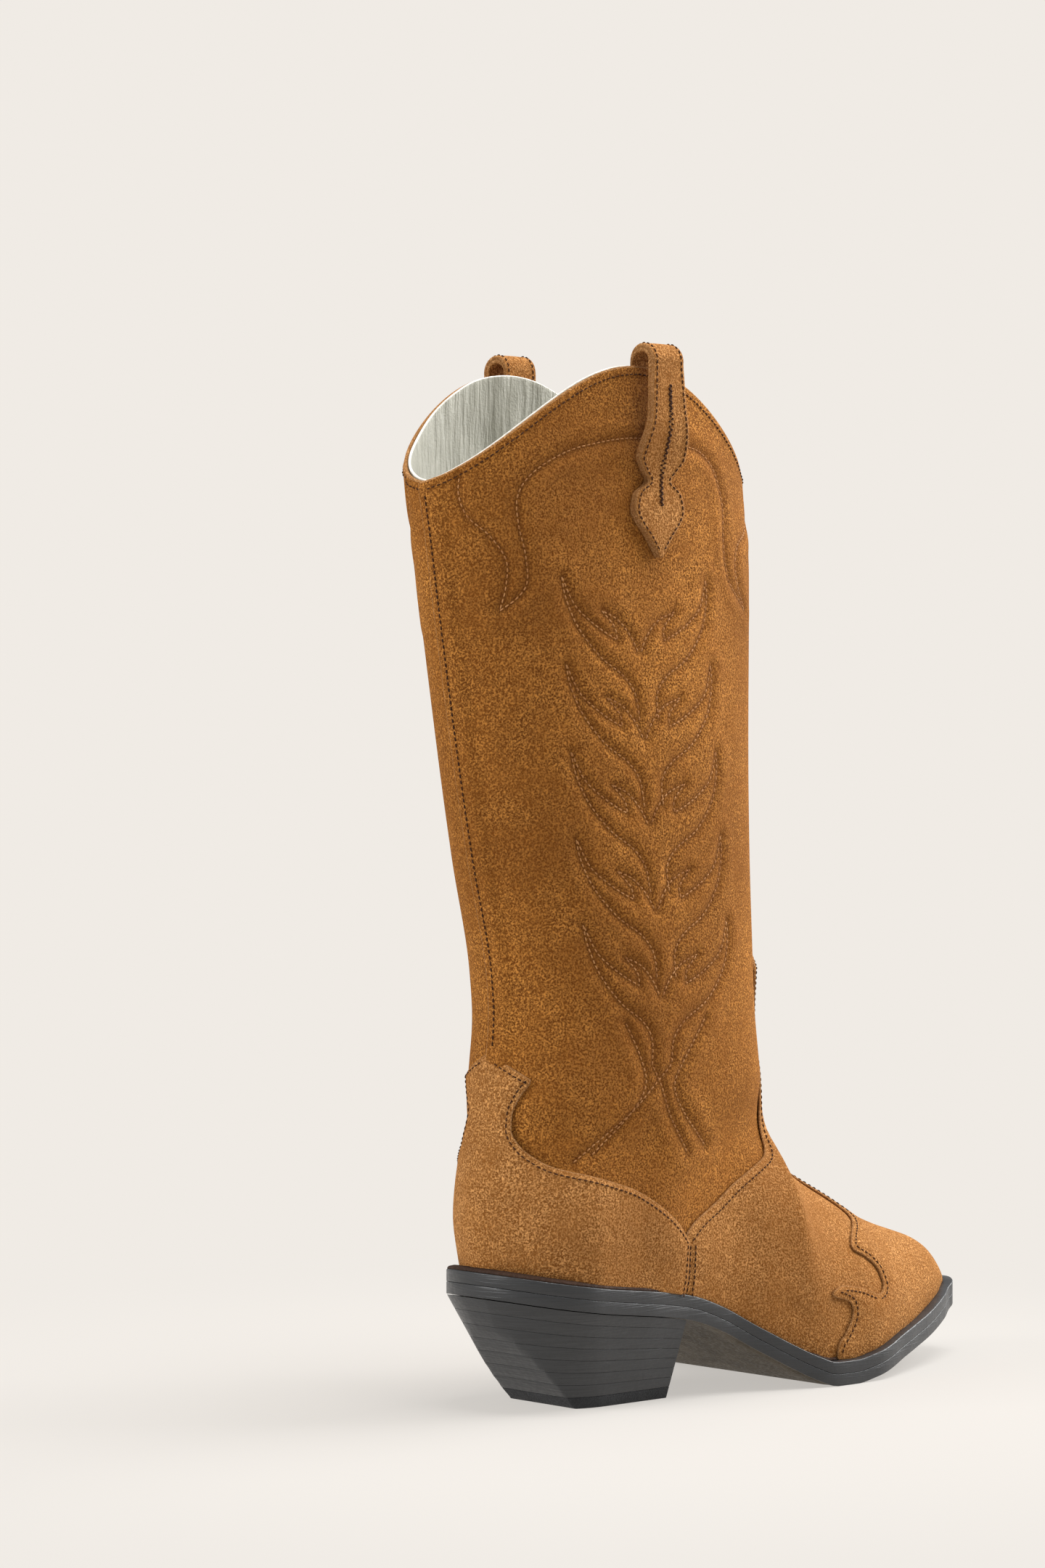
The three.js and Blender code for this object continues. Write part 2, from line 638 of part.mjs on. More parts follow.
function fastenerHoles() {
  const holes = NAIL_PLACES.map((place) => (
    pin(place, NAIL_RADIUS + GAP, nailEnd(place) - GAP, headLevel(place) + 9)));
  holes.push(pin(SCREW_PLACE, SCREW_RADIUS + GAP, screwEnd(SCREW_PLACE) - GAP,
    headLevel(SCREW_PLACE) + 9));
  return holes;
}

// ---- pull straps --------------------------------------------------------------------

const EDGE_LEVEL = SHAFT_HEIGHT + TOP_RISE;
const wallAt = (z) => halfWidth(STRAP_PLACE, z, true);

// The strap's middle line, from its sewn inner end over the top line to the tab's point,
// as [x, z]. The tab below the waist lies flat on the shaft.
const INSIDE = UPPER_LEATHER + LINING_LEATHER + 4 * GAP + STRAP_THICKNESS / 2;
const WAIST = EDGE_LEVEL - 43;
const ARCH_STEPS = 8;
const TAB_POINT = EDGE_LEVEL - 72;
const outsideAt = (z) => wallAt(z) + GAP + STRAP_THICKNESS / 2;
const bow = (z) => STRAP_STAND_OFF * ramp(z, WAIST - 1, WAIST + 24);

const insideAt = (z) => wallAt(z) - INSIDE;
const legAt = (z) => outsideAt(z) + bow(z);

// Heights from low to high, both included, about six millimetres apart.
function heights(low, high) {
  const count = Math.max(1, Math.round((high - low) / 6));
  return Array.from({ length: count + 1 }, (_, i) => low + (high - low) * i / count);
}

function strapPaths() {
  const insideX = insideAt(EDGE_LEVEL);
  const outsideX = legAt(EDGE_LEVEL);
  const middle = (insideX + outsideX) / 2;
  const radius = (outsideX - insideX) / 2;
  const archBase = EDGE_LEVEL + STRAP_ARCH - STRAP_THICKNESS / 2 - radius;
  const loopLow = archBase - LOOP_LEG;
  const fixedTop = loopLow - STRAP_FREE_END;
  const arch = Array.from({ length: ARCH_STEPS + 1 }, (_, i) => {
    const turn = Math.PI * (1 - i / ARCH_STEPS);
    return [middle + radius * Math.cos(turn), archBase + radius * Math.sin(turn)];
  });
  const fringe = [TAB_POINT, TAB_POINT + 7, TAB_POINT + 18, TAB_POINT + 24, WAIST, WAIST + 4];
  return {
    anchor: heights(EDGE_LEVEL - SEWN_INSIDE, fixedTop).map((z) => [insideAt(z), z]),
    loop: [[insideAt(loopLow), loopLow], ...arch, [legAt(loopLow), loopLow]],
    tab: [...fringe, ...heights(WAIST + 9, fixedTop)].reverse().map((z) => [legAt(z), z]),
  };
}

const strapHalf = curve([[TAB_POINT, 0.8], [TAB_POINT + 7, 6], [TAB_POINT + 18, 13.6],
  [TAB_POINT + 24, 12.2], [WAIST, 6.2], [WAIST + 4, 9], [WAIST + 9, 12.4], [WAIST + 26, 9.4],
  [EDGE_LEVEL, STRAP_HALF_WIDTH]]);

function band(path, side, widthAt) {
  return sweep(path.map(([x, z], i) => {
    const before = path[Math.max(0, i - 1)];
    const after = path[Math.min(path.length - 1, i + 1)];
    const run = Math.hypot(after[0] - before[0], after[1] - before[1]);
    const nx = -(after[1] - before[1]) / run * STRAP_THICKNESS / 2;
    const nz = (after[0] - before[0]) / run * STRAP_THICKNESS / 2;
    const half = widthAt(z);
    const ends = side > 0 ? [-half, half] : [half, -half];
    const [a, b] = ends.map((w) => STRAP_PLACE + w);
    return [[side * (x + nx), a, z + nz], [side * (x + nx), b, z + nz],
      [side * (x - nx), b, z - nz], [side * (x - nx), a, z - nz]];
  }));
}

function straps() {
  const { anchor, loop, tab } = strapPaths();
  const narrow = () => STRAP_HALF_WIDTH;
  return [[1, 'outer'], [-1, 'inner']].flatMap(([side, name]) => [
    [`${name}_strap_anchor`, band(anchor, side, narrow), suede],
    [`${name}_strap_loop`, band(loop, side, narrow), suede],
    [`${name}_strap_tab`, band(tab, side, strapHalf), suede],
  ]);
}

// ---- materials ----------------------------------------------------------------------

const finish = (color, roughness, metalness = 0) => new THREE.MeshStandardMaterial({
  color, roughness, metalness,
});
const suede = finish(0x9a6430, 0.95);
const suedeLight = finish(0xa87038, 0.95);
const liningGrey = finish(0xb5b4a8, 0.6);
const stiff = finish(0xb79a72, 0.8);
const board = finish(0xa58b62, 0.85);
const cork = finish(0x8a6038, 0.95);
const steel = finish(0x9a9c9e, 0.35, 1);
const soleDark = finish(0x33363a, 0.4);
const heelDark = finish(0x36393c, 0.38);
const rubberDark = finish(0x2c2e30, 0.6);

// ---- assembly -----------------------------------------------------------------------

// Trims a leather piece just above the welt.
function trimmed(piece) {
  const reach = 100;
  const tool = sweep([SOLE_BACK - reach, ...STATIONS, SOLE_TIP + reach].map((y) => (
    [[reach, y, -reach], [reach, y, weltTop(y) + GAP], [-reach, y, weltTop(y) + GAP],
      [-reach, y, -reach]])));
  return cut(piece, [tool]);
}

function upper() {
  const below = (depth, thickness) => (p) => depth(p) - thickness;
  const above = (depth, thickness) => (p) => depth(p) + thickness;
  const puffOuter = () => -UPPER_LEATHER - GAP;
  return [
    ['shaft_outer_half', suede, shaftInner, shaftOuter, onOuterSide, belowTopLine, inShaft],
    ['shaft_inner_half', suede, shaftInner, shaftOuter, onInnerSide, belowTopLine, inShaft],
    ['vamp', suedeLight, vampInner, vampOuter, inVamp],
    ['toe_cap', suede, capInner, above(capInner, UPPER_LEATHER), inToeCap],
    ['counter_cover', suedeLight, coverInner, above(coverInner, UPPER_LEATHER), inCounterCover],
    ['heel_counter', stiff, stiffenerInner, above(stiffenerInner, STIFFENER), inStiffener],
    ['toe_puff', stiff, below(puffOuter, PUFF), puffOuter, inPuff],
    ['lining_outer_half', liningGrey, liningInner, liningOuter, onOuterSide, belowTopLine,
      inShaftLining],
    ['lining_inner_half', liningGrey, liningInner, liningOuter, onInnerSide, belowTopLine,
      inShaftLining],
    ['vamp_lining', liningGrey, liningInner, liningOuter, inVampLining],
  ].map(([name, material, ...shape]) => [name, trimmed(panel(...shape)), material]);
}

function bottom() {
  return [
    ['welt', weltRing(), soleDark],
    ['outsole', cut(outsole(), fastenerHoles()), soleDark],
    ['cork_filler', corkFiller(), cork],
    ['shank', shankStrip(0), steel],
    ['insole_board', insoleBoard(), board],
    ['sock_liner', sockLiner(), liningGrey],
  ];
}

function heel() {
  const facet = facetTool();
  const pieces = [['top_lift', cut(heelSlab(-1, 0), [facet]), rubberDark]];
  for (let i = 0; i < LIFT_COUNT; i += 1) {
    const slab = heelSlab(i / LIFT_COUNT, (i + 1) / LIFT_COUNT);
    pieces.push([`heel_lift_${i + 1}`, cut(slab, [facet, ...fastenerHoles()]), heelDark]);
  }
  return pieces;
}

function fastenings() {
  const pieces = NAIL_PLACES.map((place, i) => (
    [`heel_nail_${i + 1}`, pin(place, NAIL_RADIUS, nailEnd(place), headLevel(place)), steel]));
  pieces.push(['heel_screw', pin(SCREW_PLACE, SCREW_RADIUS, screwEnd(SCREW_PLACE),
    headLevel(SCREW_PLACE)), steel]);
  return pieces;
}

const boot = new THREE.Group();
for (const [name, geometry, material] of [...upper(), ...bottom(), ...heel(), ...fastenings(),
  ...straps()]) {
  const mesh = new THREE.Mesh(geometry, material);
  mesh.name = name;
  boot.add(mesh);
}

export default boot;
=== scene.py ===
# %% [markdown]
# # A suede western boot, built piece by piece
#
# A western boot is a stack of shaped leather. Two suede halves make the shaft, a vamp and
# a counter cover are sewn over its foot, a grey leather lining goes inside, and a layered
# sole and a stacked heel carry it all. The frame gives every piece's place and size.
# Lengths in this file are millimetres until a mesh is made, and metres after that.

# %% Load the frame
import math

import bmesh
import bpy
import numpy as np
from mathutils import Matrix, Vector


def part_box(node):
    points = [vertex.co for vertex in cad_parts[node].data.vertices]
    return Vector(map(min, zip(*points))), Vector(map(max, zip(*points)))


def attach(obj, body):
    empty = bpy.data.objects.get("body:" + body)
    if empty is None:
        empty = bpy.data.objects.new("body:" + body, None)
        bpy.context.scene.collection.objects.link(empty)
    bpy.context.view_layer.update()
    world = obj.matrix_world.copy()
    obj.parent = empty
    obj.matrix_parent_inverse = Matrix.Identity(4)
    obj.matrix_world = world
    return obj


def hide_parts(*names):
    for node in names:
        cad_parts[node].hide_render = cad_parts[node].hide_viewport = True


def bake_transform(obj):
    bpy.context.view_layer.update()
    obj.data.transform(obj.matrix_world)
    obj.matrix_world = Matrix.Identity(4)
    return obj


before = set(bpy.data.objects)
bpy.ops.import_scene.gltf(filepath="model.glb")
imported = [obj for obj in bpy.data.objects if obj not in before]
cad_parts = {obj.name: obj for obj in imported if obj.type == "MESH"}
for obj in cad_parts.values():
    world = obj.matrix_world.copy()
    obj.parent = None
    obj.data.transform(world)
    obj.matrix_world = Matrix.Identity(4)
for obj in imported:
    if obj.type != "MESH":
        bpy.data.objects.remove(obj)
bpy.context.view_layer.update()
print("nodes in the frame:", len(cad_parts))

# %% [markdown]
# ## Sizes from the frame
#
# A box round one node gives its lowest and highest corners. The heights of the shaft and of
# the sole, and the reach of the sole, are read from those boxes, so that the fine surfaces
# made here land on the solids that they stand for.

# %% Read the sizes
def box_mm(node):
    low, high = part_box(node)
    return np.array(low) * 1000, np.array(high) * 1000


TOP_PEAK = box_mm("shaft_outer_half")[1][2]
SOLE_BACK = box_mm("outsole")[0][1]
SOLE_TIP = box_mm("outsole")[1][1]
HEEL_FRONT = box_mm("top_lift")[1][1]
LOOP_LOW, LOOP_HIGH = box_mm("outer_strap_loop")
LEAF_POINT = box_mm("outer_strap_tab")[0][2]
TOP_RISE = 45
SHAFT_HEIGHT = TOP_PEAK - TOP_RISE
SHAFT_WIDTH = 80.4
SOLE = 9.5
GAP = 0.3
UPPER = 1.6
LINING = 1.0
STIFFENER = 1.2
PUFF = 0.8
print("shaft height %.1f, sole from %.1f to %.1f" % (SHAFT_HEIGHT, SOLE_BACK, SOLE_TIP))

# %% [markdown]
# ## The last: one smooth form under all the leather
#
# A bootmaker starts from a last. Here the last is a formula: a back and a front outline seen
# from the side, half widths along the foot, and a rule that turns the foot's dome into the
# shaft's oval. A sculpted mesh could do the same, but a formula keeps every layer at an
# exact distance from the next. The curves are monotone, so that no bump appears by itself.

# %% Curves
def smooth_curve(points):
    place, value = (np.array(column, float) for column in zip(*points))
    step = np.diff(place)
    rise = np.diff(value) / step
    slope = np.zeros_like(value)
    slope[0], slope[-1] = rise[0], rise[-1]
    for i in range(1, len(value) - 1):
        if rise[i - 1] * rise[i] > 0:
            before = 2 * step[i] + step[i - 1]
            after = step[i] + 2 * step[i - 1]
            slope[i] = (before + after) / (before / rise[i - 1] + after / rise[i])

    def at(x):
        x = np.clip(np.asarray(x, float), place[0], place[-1])
        k = np.clip(np.searchsorted(place, x) - 1, 0, len(step) - 1)
        t = (x - place[k]) / step[k]
        hold = 2 * t ** 3 - 3 * t ** 2 + 1
        leave = (t ** 3 - 2 * t ** 2 + t) * step[k] * slope[k]
        arrive = (t ** 3 - t ** 2) * step[k] * slope[k + 1]
        return hold * value[k] + (1 - hold) * value[k + 1] + leave + arrive

    return at


def ramp(x, start, end):
    """Climbs smoothly from 0 at start to 1 at end."""
    t = np.clip((np.asarray(x, float) - start) / (end - start), 0, 1)
    return t * t * (3 - 2 * t)


print("half way up a ramp:", ramp(0.5, 0, 1))

# %% Lines and directions
def unit(vectors):
    """The same vectors, each brought to length one."""
    return vectors / np.maximum(np.linalg.norm(vectors, axis=-1, keepdims=True), 1e-9)


def run_length(points):
    """Distance along a line, from its start to each of its points."""
    return np.concatenate([[0], np.cumsum(np.linalg.norm(np.diff(points, axis=0), axis=1))])


def along_line(wanted, reached, points):
    """Points at wanted distances along a line whose own points lie at the reached ones."""
    return np.stack([np.interp(wanted, reached, column) for column in points.T], -1)


print("a step of 3 by 4 has length", run_length(np.array([(0, 0), (3, 4)]))[-1])


# %% Outlines of the last
back_profile = smooth_curve([(0, -50), (44, -54.5), (58, -57), (72, -58.3), (85, -57.6),
    (100, -55), (115, -51.8), (132, -49), (150, -48.2), (165, -49.3), (209, -58.5),
    (261, -68.4), (320, -79), (352, -84), (420, -92)])
front_profile = smooth_curve([(0, 197), (31, 196.5), (37, 195), (42, 191), (46.5, 183),
    (50, 172), (54, 158), (59.5, 142), (69, 124), (78, 110), (88, 98.5), (97, 92), (113, 87),
    (132, 83.5), (164, 80.5), (209, 79.5), (320, 79.5), (352, 76.5), (420, 72)])
welt_curve = smooth_curve([(-70, 55.5), (-58, 53.5), (-45, 51), (-22, 47.3), (13, 42.7),
    (26, 40.2), (43.5, 34), (59.5, 25.2), (73.6, 17.5), (84, 12.4), (93, 9.5), (104, 9.5),
    (114, 11), (141, 16.6), (167, 21.3), (190, 26.5), (206, 31)])
outer_foot = smooth_curve([(-60, 20), (-45, 30), (-25, 34.5), (0, 34.5), (25, 32), (45, 31.5),
    (70, 37), (95, 43), (115, 43.5), (140, 36.5), (165, 26), (185, 16), (196, 9), (206, 6)])
inner_foot = smooth_curve([(-60, 20), (-45, 30), (-25, 34.5), (0, 33.5), (25, 29), (45, 27.5),
    (70, 33), (95, 41), (120, 43.5), (140, 38), (165, 27.5), (185, 16.5), (196, 9), (206, 6)])
shaft_share = smooth_curve([(0, 0.85), (60, 0.945), (100, 0.97), (132, 0.978), (165, 0.985),
    (261, 1), (330, 0.995), (400, 0.933)])

print("throat of the boot at height 132:", front_profile(132) - back_profile(132))

# %% Half width of the last
HEEL_ROUND = 34
THROAT = 82
TOE_RIDGE, INSTEP = 31, 142
FOOT_ENDS, SHAFT_BEGINS = 62, 118
ridge_z = np.linspace(TOE_RIDGE, INSTEP, 700)
ridge_y = front_profile(ridge_z)


def half_width(y, z, outer):
    """Half width of the boot at place y and height z, on the outer or the inner side."""
    back, front = back_profile(z), front_profile(z)
    width = outer_foot(y) if outer else inner_foot(y)
    ridge = np.where(y > THROAT, np.interp(-y, -ridge_y, ridge_z), INSTEP)
    welt = welt_curve(y)
    climb = np.clip((z - welt) / np.maximum(1, ridge - welt), 0, 1)
    dome = (1 - climb ** 2.3) ** (0.5 + 0.3 * (1 - ramp(y, 95, 135)))
    heel = 1 - ramp(y, 0, 60)
    dome = np.where(y < THROAT, 1 - (1 - dome) * (1 - 0.8 * heel), dome)
    bulge = 1 + (0.05 + 0.08 * heel) * np.sin(np.pi * np.clip(climb * 1.3, 0, 1))
    from_back = np.clip((y - back) / HEEL_ROUND, 0, 1)
    foot = width * dome * bulge * np.sqrt(1 - (1 - from_back) ** 2)
    share = np.clip((y - back) / (front - back), 0, 1)
    power = np.where(share > 0.5, 2.15 - 0.6 * (1 - ramp(z, 95, 125)), 2.15)
    oval = (1 - np.abs(2 * share - 1) ** power) ** (1 / power)
    shaft = shaft_share(z) * SHAFT_WIDTH / 2 * oval
    blend = ramp(z, FOOT_ENDS, SHAFT_BEGINS)
    return foot * (1 - blend) + shaft * blend


print("half width at the ball:", half_width(110, 40, True).round(1))

# %% [markdown]
# ## A fine net over the last
#
# The net has one row for each height and the same number of columns all round, so a place
# on the boot is two numbers: its height, and its distance round from the centre back. Each
# leather piece is cut from this net, and each seam is drawn on it. Columns spaced by true
# distance keep the cells nearly square, which keeps the stitches evenly long.

# %% Build the net
ROWS = np.concatenate([np.arange(8, 60, 0.95), np.arange(60, 112, 1.15),
                       np.arange(112, 402, 1.3)])
SIDE_COLUMNS = 144
RING = 2 * SIDE_COLUMNS


def side_points(z, outer):
    """Evenly spaced places round one side at a height, and how far round each one is."""
    turn = np.linspace(0, np.pi, 420)
    back, front = back_profile(z), front_profile(z)
    y = back + (front - back) * (1 - np.cos(turn)) / 2
    x = half_width(y, np.full(len(turn), z), outer)
    x[0] = x[-1] = 0
    line = np.column_stack([x, y])
    reached = run_length(line)
    around = np.linspace(0, reached[-1], SIDE_COLUMNS + 1)
    x, y = along_line(around, reached, line).T
    return (x if outer else -x), y, around


def build_net():
    place = np.zeros((len(ROWS), RING, 3))
    from_back = np.zeros((len(ROWS), RING))
    girth = np.zeros((len(ROWS), 2))
    for i, z in enumerate(ROWS):
        for k, outer in enumerate((True, False)):
            x, y, around = side_points(z, outer)
            columns = np.arange(SIDE_COLUMNS + 1) if outer else -np.arange(SIDE_COLUMNS + 1)
            place[i, columns, 0] = x
            place[i, columns, 1] = y
            from_back[i, columns] = around
            girth[i, k] = around[-1]
        place[i, :, 2] = z
    across = np.roll(place, -1, 1) - np.roll(place, 1, 1)
    up = np.gradient(place, axis=0)
    return place, unit(np.cross(across, up)), from_back, girth


PLACE, NORMAL, FROM_BACK, GIRTH = build_net()
OUTER = np.arange(RING) <= SIDE_COLUMNS
FROM_FRONT = np.where(OUTER, GIRTH[:, :1], GIRTH[:, 1:]) - FROM_BACK
SIGN = np.where(OUTER, 1.0, -1.0) * np.ones_like(FROM_BACK)
# One layer for each thing known about a point: x, y, z, normal, both distances and side.
NET = np.dstack([PLACE, NORMAL, FROM_BACK, FROM_FRONT, SIGN])
print("net of", NET.shape[0], "rows and", NET.shape[1], "columns")

# %% Look a place up on the net
class Spot:
    """Names for the layers of an array of net points."""

    def __init__(self, data):
        self.data = data
        self.x, self.y, self.z = data[..., 0], data[..., 1], data[..., 2]
        self.normal = data[..., 3:6]
        self.from_back, self.from_front = data[..., 6], data[..., 7]
        self.sign = data[..., 8]


def net_at(side, around, z, front=False):
    """Net points at distances round from the back (or the front) and heights."""
    around, z = np.broadcast_arrays(np.asarray(around, float), np.asarray(z, float))
    row = np.clip(np.interp(z, ROWS, np.arange(len(ROWS))), 0, len(ROWS) - 1.001)
    low = row.astype(int)
    share = (row - low)[..., None]
    k = np.where(side > 0, 0, 1)
    girth = GIRTH[low, k] * (1 - share[..., 0]) + GIRTH[low + 1, k] * share[..., 0]
    reach = girth - around if front else around
    column = side * reach / girth * SIDE_COLUMNS
    first = np.floor(column).astype(int)
    t = (column - first)[..., None]

    def mixed(rows):
        return NET[rows, first % RING] * (1 - t) + NET[rows, (first + 1) % RING] * t

    return Spot(mixed(low) * (1 - share) + mixed(low + 1) * share)


print("centre back at height 200:", net_at(1, 0, 200).data[:3].round(1))


# %% [markdown]
# ## Where each leather piece ends
#
# Every piece has a test that is positive inside it and falls to zero at its cut edge, in
# millimetres. The scalloped top line, the peak of the counter cover, the tongue of the vamp
# and the toe cap's curled edge are such tests.

# %% Top line, counter cover and vamp
def top_line(spot):
    share = spot.from_back / (spot.from_back + spot.from_front)
    return SHAFT_HEIGHT + TOP_RISE * np.abs(np.sin(np.pi * share)) ** 1.6


SEAM_TOP = 62


def seam_round(z):
    return 93.7 + 4.3 * np.clip((z - 43) / (SEAM_TOP - 43), 0, 1)


counter_low = smooth_curve([(SEAM_TOP, 98), (69, 91.6), (77, 81), (83, 70), (87, 58), (90, 47),
    (92, 37.7), (94, 30), (97, 23.7), (101, 17.6), (108, 12.9), (113, 12.5), (119, 14.5),
    (126, 18.7)])
vamp_low = smooth_curve([(SEAM_TOP, 136), (68, 117.5), (75, 91), (82, 67.5), (87, 49),
    (90, 38), (97, 27), (108, 20), (122, 16), (136, 15.5), (150, 18), (164, 23)])


def counter_reach(z):
    high = np.where(z < 126, counter_low(z), 18.7 * (136 - z) / 10)
    return np.where(z < SEAM_TOP, seam_round(z), high)


def vamp_reach(z):
    high = np.where(z < 164, vamp_low(z), 23 * (180 - z) / 16)
    return np.where(z < SEAM_TOP, 1000.0, high)


print("counter cover reaches", counter_reach(80.0).round(1), "round at height 80")

# %% Toe cap
CAP_EDGE = [(95, -60), (97, -31), (101, -25), (105.5, -17.5), (104, -11), (93.7, -7.5),
    (99.5, -4), (110.5, -6), (121, -10), (127, -4.5), (125.5, 5), (120, 11), (114, 16),
    (118, 24), (125, 33), (130, 42), (129, 50), (124, 57), (117, 66), (108, 79)]
CAP_CORNERS = [6, 13]


def rounded(points, corners=(), steps=6):
    """A smooth line through points, left sharp at the numbered corners."""
    points = np.array(points, float)
    ends = [0, *corners, len(points) - 1]
    line = []
    for start, stop in zip(ends[:-1], ends[1:]):
        part = points[start:stop + 1]
        if len(part) < 3:
            line.extend(part[:-1])
            continue
        padded = np.vstack([2 * part[0] - part[1], part, 2 * part[-1] - part[-2]])
        for a, b, c, d in zip(padded[:-3], padded[1:-2], padded[2:-1], padded[3:]):
            for t in np.arange(steps) / steps:
                line.append(0.5 * (2 * b + (c - a) * t + (2 * a - 5 * b + 4 * c - d) * t ** 2
                                   + (3 * b - a - 3 * c + d) * t ** 3))
    line.append(points[-1])
    return np.array(line)


cap_line = rounded(CAP_EDGE, CAP_CORNERS)
# The outline runs on past the toe, so that everything in front of the line is inside.
cap_outline = np.vstack([cap_line, [(300, 79), (300, -60)]])
print("toe cap line:", len(cap_line), "points")


def distance_to(line, u, v):
    """Shortest distance from places (u, v) to a line of joined points."""
    shape = u.shape
    u, v = u.ravel(), v.ravel()
    nearest = np.full(u.shape, 1e9)
    for (ax, ay), (bx, by) in zip(line[:-1], line[1:]):
        length2 = max((bx - ax) ** 2 + (by - ay) ** 2, 1e-9)
        t = np.clip(((u - ax) * (bx - ax) + (v - ay) * (by - ay)) / length2, 0, 1)
        nearest = np.minimum(nearest, np.hypot(u - ax - t * (bx - ax), v - ay - t * (by - ay)))
    return nearest.reshape(shape)


def inside_outline(outline, u, v):
    inside = np.zeros(u.shape, bool)
    for (ax, ay), (bx, by) in zip(outline, np.roll(outline, -1, axis=0)):
        crosses = (ay > v) != (by > v)
        level = ax + (v - ay) * (bx - ax) / (by - ay if by != ay else 1e-9)
        inside ^= crosses & (u < level)
    return inside


def cap_test(spot):
    u, v = spot.y, spot.z - np.abs(spot.x)
    closed = np.vstack([cap_outline, cap_outline[:1]])
    far = distance_to(closed, u, v)
    return np.where(inside_outline(cap_outline, u, v), far, -far)


# %% Hidden edges under the overlays
SHAFT_LAP = 10
shaft_edge = smooth_curve([(0, 84), (38, 80), (67, 72), (91, 65), (117, 58), (130, 54)])
LINING_Y, LINING_Z = 62, 96


def above_edge(spot):
    """Height above the shaft's lower edge, which the vamp covers."""
    return spot.z - shaft_edge(spot.from_front)


def behind_seam(spot):
    return 98 + SHAFT_LAP - spot.from_back


def side_test(side):
    return lambda s: s.sign * side * np.minimum(s.from_back, s.from_front) - GAP / 2


def above_welt(spot):
    return spot.z - welt_curve(spot.y) - GAP


print("shaft's hidden edge at the front seam: %.0f" % shaft_edge(0.0))


# %% [markdown]
# ## How deep each layer lies
#
# The counter cover hides a stiffener, and the vamp laps over the shaft, so those layers step
# outward where another lies below them. The rules are the frame's own, so a fine piece never
# leaves the room that its solid holds.

# %% Depths of the layers
COVER_STACK = STIFFENER + UPPER + 2 * GAP
# Where each layer fades in or out: heights, distances round, or places along the foot.
COVER_HEIGHTS, COVER_ROUND = (88, 122), (70, 96)
PUFF_PLACES = (140, 156)


def heel_depth(s):
    """Room that the shaft leaves for the counter cover and the stiffener over it."""
    above = ramp(s.z, *COVER_HEIGHTS)
    return COVER_STACK * (1 - above) * (1 - ramp(s.from_back, *COVER_ROUND))


def puff_depth(s):
    return (PUFF + GAP) * ramp(s.y, *PUFF_PLACES)


def over_stiffener(s):
    """1 where the stiffener lies under the cover, falling to 0 past its edges."""
    rise = 98 - s.z - 0.24 * s.from_back
    return ramp(74 - s.from_back, -32, -20) * ramp(rise, -19, -9)


def cover_inner(s):
    """Depth of the counter cover's inner face. Depths are positive outward."""
    return -heel_depth(s) + GAP + (STIFFENER + GAP) * over_stiffener(s)


def over_shaft(s):
    """1 where the vamp lies over the shaft, and 0 where it lies on the lining."""
    return np.maximum(ramp(above_edge(s), -34, -13), ramp(behind_seam(s), -60, -24))


def vamp_inner(s):
    return -UPPER + (UPPER + GAP) * over_shaft(s)


def lining_outer(s):
    return -heel_depth(s) - UPPER - GAP - puff_depth(s)


print("cover and stiffener together: %.1f" % COVER_STACK)


# %% [markdown]
# ## The stitched pattern on the shaft
#
# Five tiers of flames climb each side, with a hooked inner flame and a long outer one in
# every tier. Below them two lines cross and run down to points, and above them a band runs
# round under the pull strap and drops into a point at the back and at the front. The thread
# pulls the suede down, so each line is both a row of stitches and a soft channel.

# %% Lines of the pattern
INNER_FLAME = [(1.0, 29), (0.88, 19), (0.72, 13.5), (0.5, 8.5), (0.32, 5.5), (0.34, 10.5),
    (0.5, 16.5), (0.27, 13), (0.11, 7), (0.02, 1)]
OUTER_FLAME = [(1.0, 29), (0.98, 21), (0.86, 10), (0.6, -1), (0.3, -8), (0.15, -15),
    (0.13, -25)]
BACK_REACH, FRONT_REACH = 31, 43
TIERS = 5
TIER_PITCH = 32.8
TIER_DRIFT = 2.75
TOP_TIER = (82.6, 287)
LOWER_LINES = [[(0.13, -25), (-0.05, -33), (-0.3, -45), (-0.75, -60)],
    [(0.55, -8), (0.28, -24), (0.2, -34), (0.42, -46), (0.8, -58)]]
BAND = [(25.5, 303), (33, 308), (37.5, 314), (38, 325), (36.7, 335), (37.6, 346), (45, 355),
    (60, 363), (76, 367), (90, 369), (106, 369), (120, 367.5), (131.6, 365), (140, 358),
    (144, 346), (142, 335), (141, 325), (144, 315), (157.7, 305)]
BACK_DROP = [(25.5, 303), (29, 312), (30.3, 322), (25, 331), (17.5, 338), (15, 346), (16, 353)]
FRONT_DROP = [(157.7, 305), (151.5, 314), (150, 323), (155, 331), (167, 336), (175, 343),
    (178, 352)]


def tier_line(shape, tier, reach, corners=()):
    centre = TOP_TIER[0] - TIER_DRIFT * tier
    base = TOP_TIER[1] - TIER_PITCH * tier
    return rounded([(centre + reach * s, base + z) for s, z in shape], corners)


def pattern_lines():
    lines = []
    for reach in (-BACK_REACH, FRONT_REACH):
        for tier in range(TIERS):
            lines.append(tier_line(INNER_FLAME, tier, reach, corners=(4, 6)))
            lines.append(tier_line(OUTER_FLAME, tier, reach))
        for shape in LOWER_LINES:
            lines.append(tier_line(shape, TIERS - 1, reach))
    lines += [rounded(BAND), rounded(BACK_DROP), rounded(FRONT_DROP)]
    return lines


PATTERN = pattern_lines()
print("pattern lines on each side:", len(PATTERN))

# %% Relief of the suede on the shaft
CHANNEL_DEPTH, CHANNEL_WIDTH = 0.8, 1.5
PUFF_HEIGHT, PUFF_PLACE, PUFF_WIDTH = 0.45, 5.5, 3.2
PRESSED_SHADE_WIDTH = 1.4
PATTERN_LOW, PATTERN_HIGH = 88, 375
CREASE_DEPTH, CREASE_PITCH = 0.55, 9.5
ANKLE_SIDE = 95
WAVE_DEPTH = 0.45


